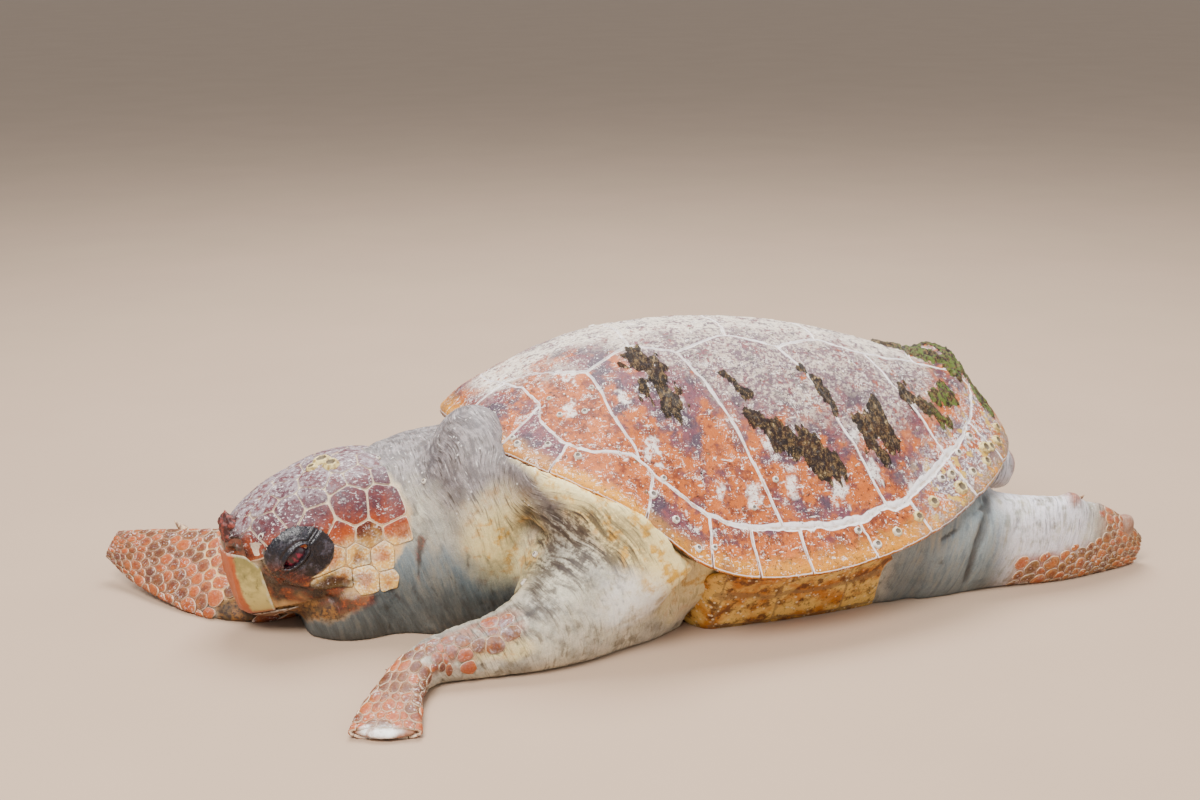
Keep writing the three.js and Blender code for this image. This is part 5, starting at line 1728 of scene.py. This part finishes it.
# the skin seen from the head's own axis: its radius at each station and direction, read off the skin's own
# points
def headField(piece):
    points, _, _ = meshArrays(piece.data)
    q = toHead(points)
    q = q[(q[:, 0] > fieldStart) & (q[:, 0] < fieldStart + fieldLength)]
    radius, turn = np.hypot(q[:, 1], q[:, 2]), np.degrees(np.arctan2(q[:, 1], q[:, 2]))
    rows, columns = 70, 120
    i = np.clip(((q[:, 0] - fieldStart) / fieldLength * rows).astype(int), 0, rows - 1)
    j = ((turn + 180) / 360 * columns).astype(int) % columns
    keep = radius < 175
    field = np.zeros(rows * columns)
    np.maximum.at(field, (i * columns + j)[keep], radius[keep])
    field = field.reshape(rows, columns)
    known = field > 0

    # the four neighbours of each place, the ends of the head repeated instead of wrapped
    def beside(values):
        ends = chained(values[:1], values, values[-1:])
        return ends[:-2], ends[2:], np.roll(values, 1, 1), np.roll(values, -1, 1)

    for _ in range(12):
        near, nearKnown = beside(field), beside(known)
        amount = np.sum(nearKnown, axis=0)
        mean = np.sum([n * k for n, k in zip(near, nearKnown)], axis=0) / np.maximum(amount, 1)
        field, known = np.where(known, field, mean), known | (amount > 0)
    field = np.minimum(field, field[:, ::-1] + 3)
    for _ in range(2):
        field = mix(field, np.mean(beside(field), axis=0), 0.5)
    return field


def addHeadPlates():
    field = headField(skin)
    rows, columns = field.shape
    seeds, weights = [], []
    for x, degrees, weight in headPlates + [place + [600] for place in behindHead]:
        for side in ((1,) if degrees == 0 else (-1, 1)):
            stir = noiseAt(np.array([[x, degrees * side, 5.0]]), 9, 120)[0] * 3
            seeds.append([x + stir, side * math.radians(degrees) * headRound - stir])
            weights.append(weight)
    drawn = np.arange(len(seeds)) < sum(1 if row[1] == 0 else 2 for row in headPlates)
    seeds, weights = np.array(seeds, float), np.array(weights, float)

    def place(plane, rise):
        turn = plane[:, 1] / headRound
        x = np.maximum(plane[:, 0], -264 + 20 * smooth(np.abs(turn), 0.35, 0.75))
        a = np.clip((x - fieldStart) / fieldLength * rows - 0.5, 0, rows - 1.001)
        b = (np.degrees(turn) + 180) / 360 * columns - 0.5
        radius = readGrid(field, a, b)
        away = np.sqrt(((x + 176) / 51) ** 2 + ((np.cos(turn) * radius - 22) / 42) ** 2)
        sunk = smooth(away, 1.0, 0.86) * (np.abs(turn) > 0.6)
        radius = radius + rise - 6 * sunk
        return fromHead(stacked(x, np.sin(turn) * radius, np.cos(turn) * radius))

    points, plane, quads, triangles, layers = scaleCells(
        seeds, weights, place, 44, 0.7, 1.5, plateRings, None, 46, 0.5, 130, drawn
    )
    marks = markingsAndShade(points)
    q = toHead(points)
    turn = np.abs(np.degrees(np.arctan2(q[:, 1], q[:, 2])))
    stir = noiseAt(points, 20, 140, 3)
    plum = smooth(turn + 16 * stir + 12 * (layers["tint"] - 0.5), 72, 50) * (
        1 - 0.8 * smooth(q[:, 0], -222, -234) * smooth(turn, 34, 44)
    )
    cheek = smooth(turn + 14 * stir, 72, 90)
    none = np.zeros(len(points))
    lineTone = mix(0.3, 0.75, smooth(turn, 34, 60)) * (1 - 0.8 * smooth(turn, 82, 96))
    # a painted highlight: the crown of the head is laid paler grey
    crownHighlight = 0.5 * smooth(turn + 12 * stir, 50, 22)
    layers.update({
        "plumTone": plum, "grey": crownHighlight, "milk": none, "blood": marks["blood"], "cheekTone": cheek,
        "lineTone": lineTone
    })
    bake = np.column_stack([
        0.1 + 0.8 * (plane[:, 0] + 300) / 360, 0.5 + 0.44 * plane[:, 1] / (np.pi * headRound)
    ])
    addPiece("head-plates", points, quads, triangles, scaleMaterial, layers, bake)


addHeadPlates()
print("head plates made")


# ---- beak and jaw: horn laid over the snout; a point is found by the direction from an upright axis inside
# the snout
beakShape = {
    "axis": -205, "top": 24, "hook": 6, "back": [71, 68], "jawBack": [60, 100], "thick": 4.5, "proud": 0.2,
    "jawDrop": 26,
}


# how far a point of the head's frame is out of the head's form: below 1 inside, above 1 outside
def snoutValue(x, y, z):
    rows = np.array(fleshLines["head"], float)
    t = np.linspace(0, len(rows) - 1, 400)
    keys = np.arange(len(rows))
    stationX = through(keys, rows[:, 0], t)
    order = np.argsort(stationX)
    wide, up, down = (np.interp(x, stationX[order], through(keys, rows[:, k], t)[order]) for k in (3, 4, 5))
    tip = np.clip((x + 273) / 6, 0.02, 1) ** 0.5
    return (
        np.abs(y / (wide * tip)) ** 2.5 + np.abs(z / (np.where(z > 0, up, down) * tip)) ** 2.5
        + 9.0 * (x < -274)
    )


def snoutPoint(turn, z):
    near, far = np.zeros_like(z), np.full_like(z, 130.0)
    for _ in range(26):
        middle = (near + far) / 2
        inside = snoutValue(beakShape["axis"] - np.cos(turn) * middle, np.sin(turn) * middle, z) < 1
        near, far = np.where(inside, middle, near), np.where(inside, far, middle)
    return near


# its back edge lies at one angle low down and at another at the top
def addHorn(name, node, lines, finish, proud, back):
    h = chained([0, 0.02, 0.06], np.linspace(0.1, 0.9, 22), [0.95, 0.985, 1])[:, None]
    last = np.radians(mix(back[0], back[1], h ** 1.4))
    turn = np.linspace(-1, 1, 120)[None] * last
    z = np.full(turn.shape, -40.0)
    for _ in range(5):
        radius = snoutPoint(turn, z)
        x = beakShape["axis"] - np.cos(turn) * radius
        low, high = lines(x, np.degrees(turn))
        z = mix(low, high, h)
    radius = snoutPoint(turn, z)
    place = stacked(np.degrees(turn), z * 0.25, radius)
    sides = (last - np.abs(turn)) * 60
    edge = np.minimum(np.minimum(h, 1 - h) * (high - low), sides)
    border = smooth(np.minimum((1 - h) * (high - low), sides), 4.5, 1.5)
    lift = (
        proud * (1 - 0.9 * smooth(edge, 3.0, 0) ** 2) + 0.35 * noiseAt(place, 9, 150, 2)
        + 0.5 * noiseAt(place, 26, 151, 1)
    )
    outer = stacked(beakShape["axis"] - np.cos(turn) * (radius + lift), np.sin(turn) * (radius + lift), z)
    deep = radius - beakShape["thick"]
    inner = stacked(beakShape["axis"] - np.cos(turn) * deep, np.sin(turn) * deep, mix(z, z.mean(0), 0.08))
    points = fromHead(chained(outer.reshape(-1, 3), inner.reshape(-1, 3)))
    layers = {"front": smooth(np.abs(np.degrees(turn)), 46, 24), "border": border, "height": h + 0 * turn}
    layers = {key: np.tile(values.ravel(), 2) for key, values in layers.items()}
    addPiece(name, points, sheetFaces(*z.shape), np.zeros((0, 3)), finish, layers, replaces=(node,))


def hornFinish(name, base, tinge, edge, dark):
    p = Paint(name)
    front, height = p.layer("front"), p.layer("height")
    middle, fine = p.noise(14, 4), p.noise(3.5, 4, stretch=(1, 1, 0.3), shift=1.1)
    p.colour = p.mix(base, tinge, (middle + height * 0.5).ramp(0.6, 1.0) * 0.8)
    p.lay(edge, (front + (middle - 0.5) * 0.8).ramp(0.4, 0.8) * 0.9)
    p.lay(dark, (fine * 0.6 + middle * 0.4).ramp(0.57, 0.68) * 0.5)
    p.lay("#8f2308", (height + (fine - 0.5) * 0.12).ramp(0.09, 0.0) * 0.85)
    p.lay("#ded3c0", p.layer("border") * (middle * 0.6 + fine * 0.4).ramp(0.42, 0.56) * 0.55)
    return p.finish(0.32 + 0.25 * middle, p.bump(fine, 0.5), Coat_Weight=0.15, Coat_Roughness=0.3)


def addBeak():
    def upper(x, degrees):
        low = mouthAt(x) + 0.6 - beakShape["hook"] * bell(degrees, 22)
        return low, beakShape["top"] - 0.2 * (x + 240) - 16 * smooth(np.abs(degrees), 48, 70)

    def lower(x, degrees):
        high = mouthAt(x) - 1.6 - beakShape["hook"] * bell(degrees, 22)
        low = mouthAt(x) - mix(beakShape["jawDrop"], 12, smooth(np.abs(degrees), 50, 100)) - 3
        return np.maximum(low, -84), high

    b = beakShape
    addHorn(
        "beak-horn", "beak", upper, hornFinish("beakHorn", "#bda963", "#6d6430", "#a83f04", "#3c2410"),
        b["proud"], b["back"]
    )
    addHorn(
        "jaw-horn", "lower_jaw", lower, hornFinish("jawHorn", "#7c480f", "#48290d", "#7c340d", "#22120a"),
        b["proud"] - 0.6, b["jawBack"]
    )


addBeak()
print("beak and jaw made")


# ---- eyes, claws, barnacles and the scab on the snout
def addEyes():
    p = Paint("wetEye")
    p.colour = p.mix("#2c0410", "#74122c", p.noise(9, 4).ramp(0.42, 0.62))
    p.lay("#1c060d", p.noise(5, 4, shift=1.0).ramp(0.48, 0.6))
    material = p.finish(
        0.25 + 0.12 * p.noise(6), p.bump(p.noise(4, 4), 0.6), Coat_Weight=0.25, Coat_Roughness=0.12
    )
    for side, name in ((-1, "left"), (1, "right")):
        points, quads, triangles = ballMesh(np.zeros(3), np.array(eyeball["reach"], float), 40, 56)
        points = points * (1 + 0.03 * noiseAt(points, 9, 160, 2))[:, None]
        points = points + np.array([eyeball["at"][0], side * eyeball["at"][1], eyeball["at"][2]])
        addPiece(
            f"eye-{name}", fromHead(points), quads, triangles, material, replaces=(f"eye_{name}",)
        )


clawShape = {
    "claw_front_left": [[-584, -330, 26], [0, -75, 30]], "claw_front_right": [[-838, 166, 90], [-30, -50, 0]],
    "claw_hind_left": [[502, -211, 122], [0, 45, 0]], "claw_hind_right": [[414, 326, 34], [-70, 0, 0]],
}


# rings along a path that bends like a hook, their radius falling as 1 - t^1.6, with a rounded root
def addClaws():
    p = Paint("clawHorn")
    p.colour = p.mix("#6d4a34", "#c9a67c", p.noise(7, 4, stretch=(1, 1, 0.4)).ramp(0.4, 0.62))
    material = p.finish(0.35 + 0.2 * p.noise(5), p.bump(p.noise(2.5, 4), 0.5))
    for name, (at, turns) in clawShape.items():
        t = np.linspace(0, 1, 26)[:, None]
        angle = circle(28)[None]
        radius = 6.6 * (1 - t ** 1.6) * smooth(t, -0.25, 0.06) + 0.35
        grid = stacked(
            radius * np.cos(angle) + 3.2 * t ** 2 + 0 * angle, radius * 0.8 * np.sin(angle) + 0 * t,
            mix(-8, 15.5, t) + 0 * angle
        )
        points = chained(grid.reshape(-1, 3), [[0, 0, -8.6], [3.3, 0, 16.2]])
        frameTurn = rotation("x", turns[0]) @ rotation("y", turns[1]) @ rotation("z", turns[2])
        points = points @ frameTurn.T + np.array(at, float)
        points[:, 2] = np.maximum(points[:, 2], 0.3)
        quads, triangles = tubeFaces(*grid.shape[:2])
        addPiece(name.replace("_", "-"), points, quads, triangles, material, replaces=(name,))


addEyes()
addClaws()
print("eyes and claws made")

# [x, y, radius] in the plan of the shell, and [x, y, z, radius] on the flesh
shellBarnacles = [
    [-390, -184, 5], [-386, -198, 6], [-347, -219, 5.5], [-311, -247, 6], [-213, -290, 7], [-192, -271, 5],
    [-184, -308, 6], [-156, -328, 6], [-130, -322, 5], [-322, -184, 5], [-288, -192, 5], [-270, -160, 4],
    [-330, -150, 4], [-60, -285, 5], [-20, -262, 5], [150, -120, 5], [96, -300, 6], [357, -176, 11],
    [352, -194, 9], [287, -240, 12], [276, -228, 8], [232, -262, 10], [200, -280, 9], [159, -298, 8],
    [122, -312, 7], [392, -150, 10], [404, -124, 9], [372, -168, 9], [318, -216, 8], [300, -200, 7],
    [256, -236, 7], [332, -172, 7], [-250, 200, 6], [-180, 262, 8], [60, 290, 6], [200, 240, 7],
    [260, 200, 8], [-90, 130, 6], [90, 60, 7], [-210, 60, 6],
]
fleshBarnacles = [
    [-640, -56, 246, 15], [-628, -78, 244, 13], [-656, -66, 240, 9], [-735, -120, 163, 6.5],
    [-394, -264, 113, 6], [-370, -249, 143, 5], [-560, -70, 262, 4], [-510, -140, 236, 4],
    [-600, 60, 236, 5],
]
# the outline of an acorn barnacle from its foot to the bottom of its mouth: [share of the radius, share of
# the height]
barnacleProfile = [
    [1.04, -0.3], [1.0, 0.0], [0.9, 0.3], [0.76, 0.62], [0.6, 0.72], [0.5, 0.62], [0.44, 0.3], [0.25, 0.22]
]


def addBarnacles():
    shell = np.array(shellBarnacles, float)
    random = np.random.default_rng(7)
    x, y, radius = shell.T
    step = 2.0
    slopeX = -(domeAt(x + step, y) - domeAt(x - step, y)) / (2 * step)
    slopeY = -(domeAt(x, y + step) - domeAt(x, y - step)) / (2 * step)
    slope = stacked(slopeX, slopeY, np.ones(len(x)))
    at = tilted(stacked(x, y, domeAt(x, y) - 0.6))
    up = unit(slope) @ shellTurn.T
    flesh = np.array(fleshBarnacles, float)
    points, _, triangles = meshArrays(skin.data)
    normals = vertexNormals(points, triangles)
    nearest = np.argmin(((points[None] - flesh[:, None, :3]) ** 2).sum(-1), axis=1)
    at = chained(at, points[nearest] + normals[nearest] * 0.8)
    up = chained(up, normals[nearest])
    radius = chained(radius, flesh[:, 3])
    across = unit(np.cross(up, [0.3, 1.0, 0.1]))
    other = np.cross(up, across)
    count, around = len(at), 14
    angle = circle(around)[None, None] + random.random(count)[:, None, None] * 6
    share, height = np.array(barnacleProfile).T
    ridge = 1 + 0.08 * np.cos(6 * angle) * (share > 0.4)[None, :, None] + 0.06 * (
        random.random((count, 1, around)) - 0.5
    )
    reach = radius[:, None, None] * share[None, :, None] * ridge
    tall = radius[:, None, None] * height[None, :, None] * 0.75 * (
        0.7 + 0.5 * random.random(count)
    )[:, None, None]
    grid = (
        at[:, None, None] + (reach * np.cos(angle))[..., None] * across[:, None, None]
        + (reach * np.sin(angle))[..., None] * other[:, None, None]
    )
    grid = grid + tall[..., None] * up[:, None, None]
    levels = len(share)
    middle = grid[:, -1].mean(1)
    foot = grid[:, 0].mean(1)
    quads, triangles = ringFaces(count, levels, around)
    inner = chained(
        np.tile(np.repeat((share < 0.55).astype(float), around), count), np.ones(count), np.zeros(count)
    )
    p = Paint("barnacleShell")
    p.colour = p.mix("#e6dfd6", "#b8a78e", p.noise(6, 4).ramp(0.4, 0.65))
    p.lay(p.mix("#d8c27c", "#94762c", p.noise(7, 4, shift=2.0).ramp(0.42, 0.6)), p.layer("old") * 0.9)
    p.lay("#4a3d38", p.layer("mouth").ramp(0.6, 0.95) * 0.85)
    material = p.finish(0.6 + 0.2 * p.noise(4), p.bump(p.noise(2, 4), 0.6))
    points = chained(grid.reshape(-1, 3), middle, foot)
    old = smooth(radius, 7.4, 8.6)
    old = chained(np.repeat(old, levels * around), old, old)
    addPiece("barnacles", points, quads, triangles, material, {"mouth": inner, "old": old})


addBarnacles()
print("barnacles made")


def addScab():
    points, quads, triangles = ballMesh(np.zeros(3), np.array([1.0, 1.0, 1.0]), 40, 60)
    reach = np.array([17, 22, 25]) * (1 + 0.5 * noiseAt(points, 0.6, 170, 3))[:, None]
    points = fromHead(points * reach + np.array([-252, -6, 55]))
    p = Paint("scab")
    p.colour = p.mix("#3a1512", "#7d3328", p.noise(7, 5).ramp(0.45, 0.62))
    material = p.finish(0.4 + 0.3 * p.noise(5), p.bump(p.noise(3, 5), 1.2))
    addPiece("snout-scab", points, quads, triangles, material)


addScab()
print("scab made")


# ---- floor and light
def addStage():
    reach = 60.0
    mesh = bpy.data.meshes.new("floor")
    mesh.from_pydata(
        [(-reach, -reach, 0), (reach, -reach, 0), (reach, reach, 0), (-reach, reach, 0)], [], [(0, 1, 2, 3)]
    )
    p = Paint("floorPaint")
    p.colour = p.mix("#b0967f", "#a88f79", p.noise(400, 2))
    mesh.materials.append(p.finish(0.85 + 0.1 * p.noise(60)))
    placed("floor", mesh)
    world = bpy.data.worlds.new("studio")
    world.use_nodes = True
    world.node_tree.nodes["Background"].inputs[0].default_value = (0.93, 0.96, 1.0, 1)
    world.node_tree.nodes["Background"].inputs[1].default_value = 0.62
    bpy.context.scene.world = world
    lights = {
        "key": {"at": (-1.6, -2.2, 3.4), "size": 1.8, "power": 290, "colour": (1.0, 0.97, 0.93)},
        "fill": {"at": (2.6, -2.4, 2.4), "size": 3.0, "power": 55, "colour": (0.95, 0.98, 1.0)},
        "top": {"at": (0.2, 1.4, 3.6), "size": 2.2, "power": 265, "colour": (1.0, 1.0, 1.0)},
    }
    for name, settings in lights.items():
        data = bpy.data.lights.new(name, "AREA")
        data.energy, data.size, data.color = settings["power"], settings["size"], settings["colour"]
        back = unit(np.array(settings["at"]) - np.array([0, 0, 0.15]))
        across = unit(np.cross([0, 0, 1], back))
        setAxes(placed(name, data), across, np.cross(back, across), back, settings["at"])


addStage()
print("stage and lights placed")
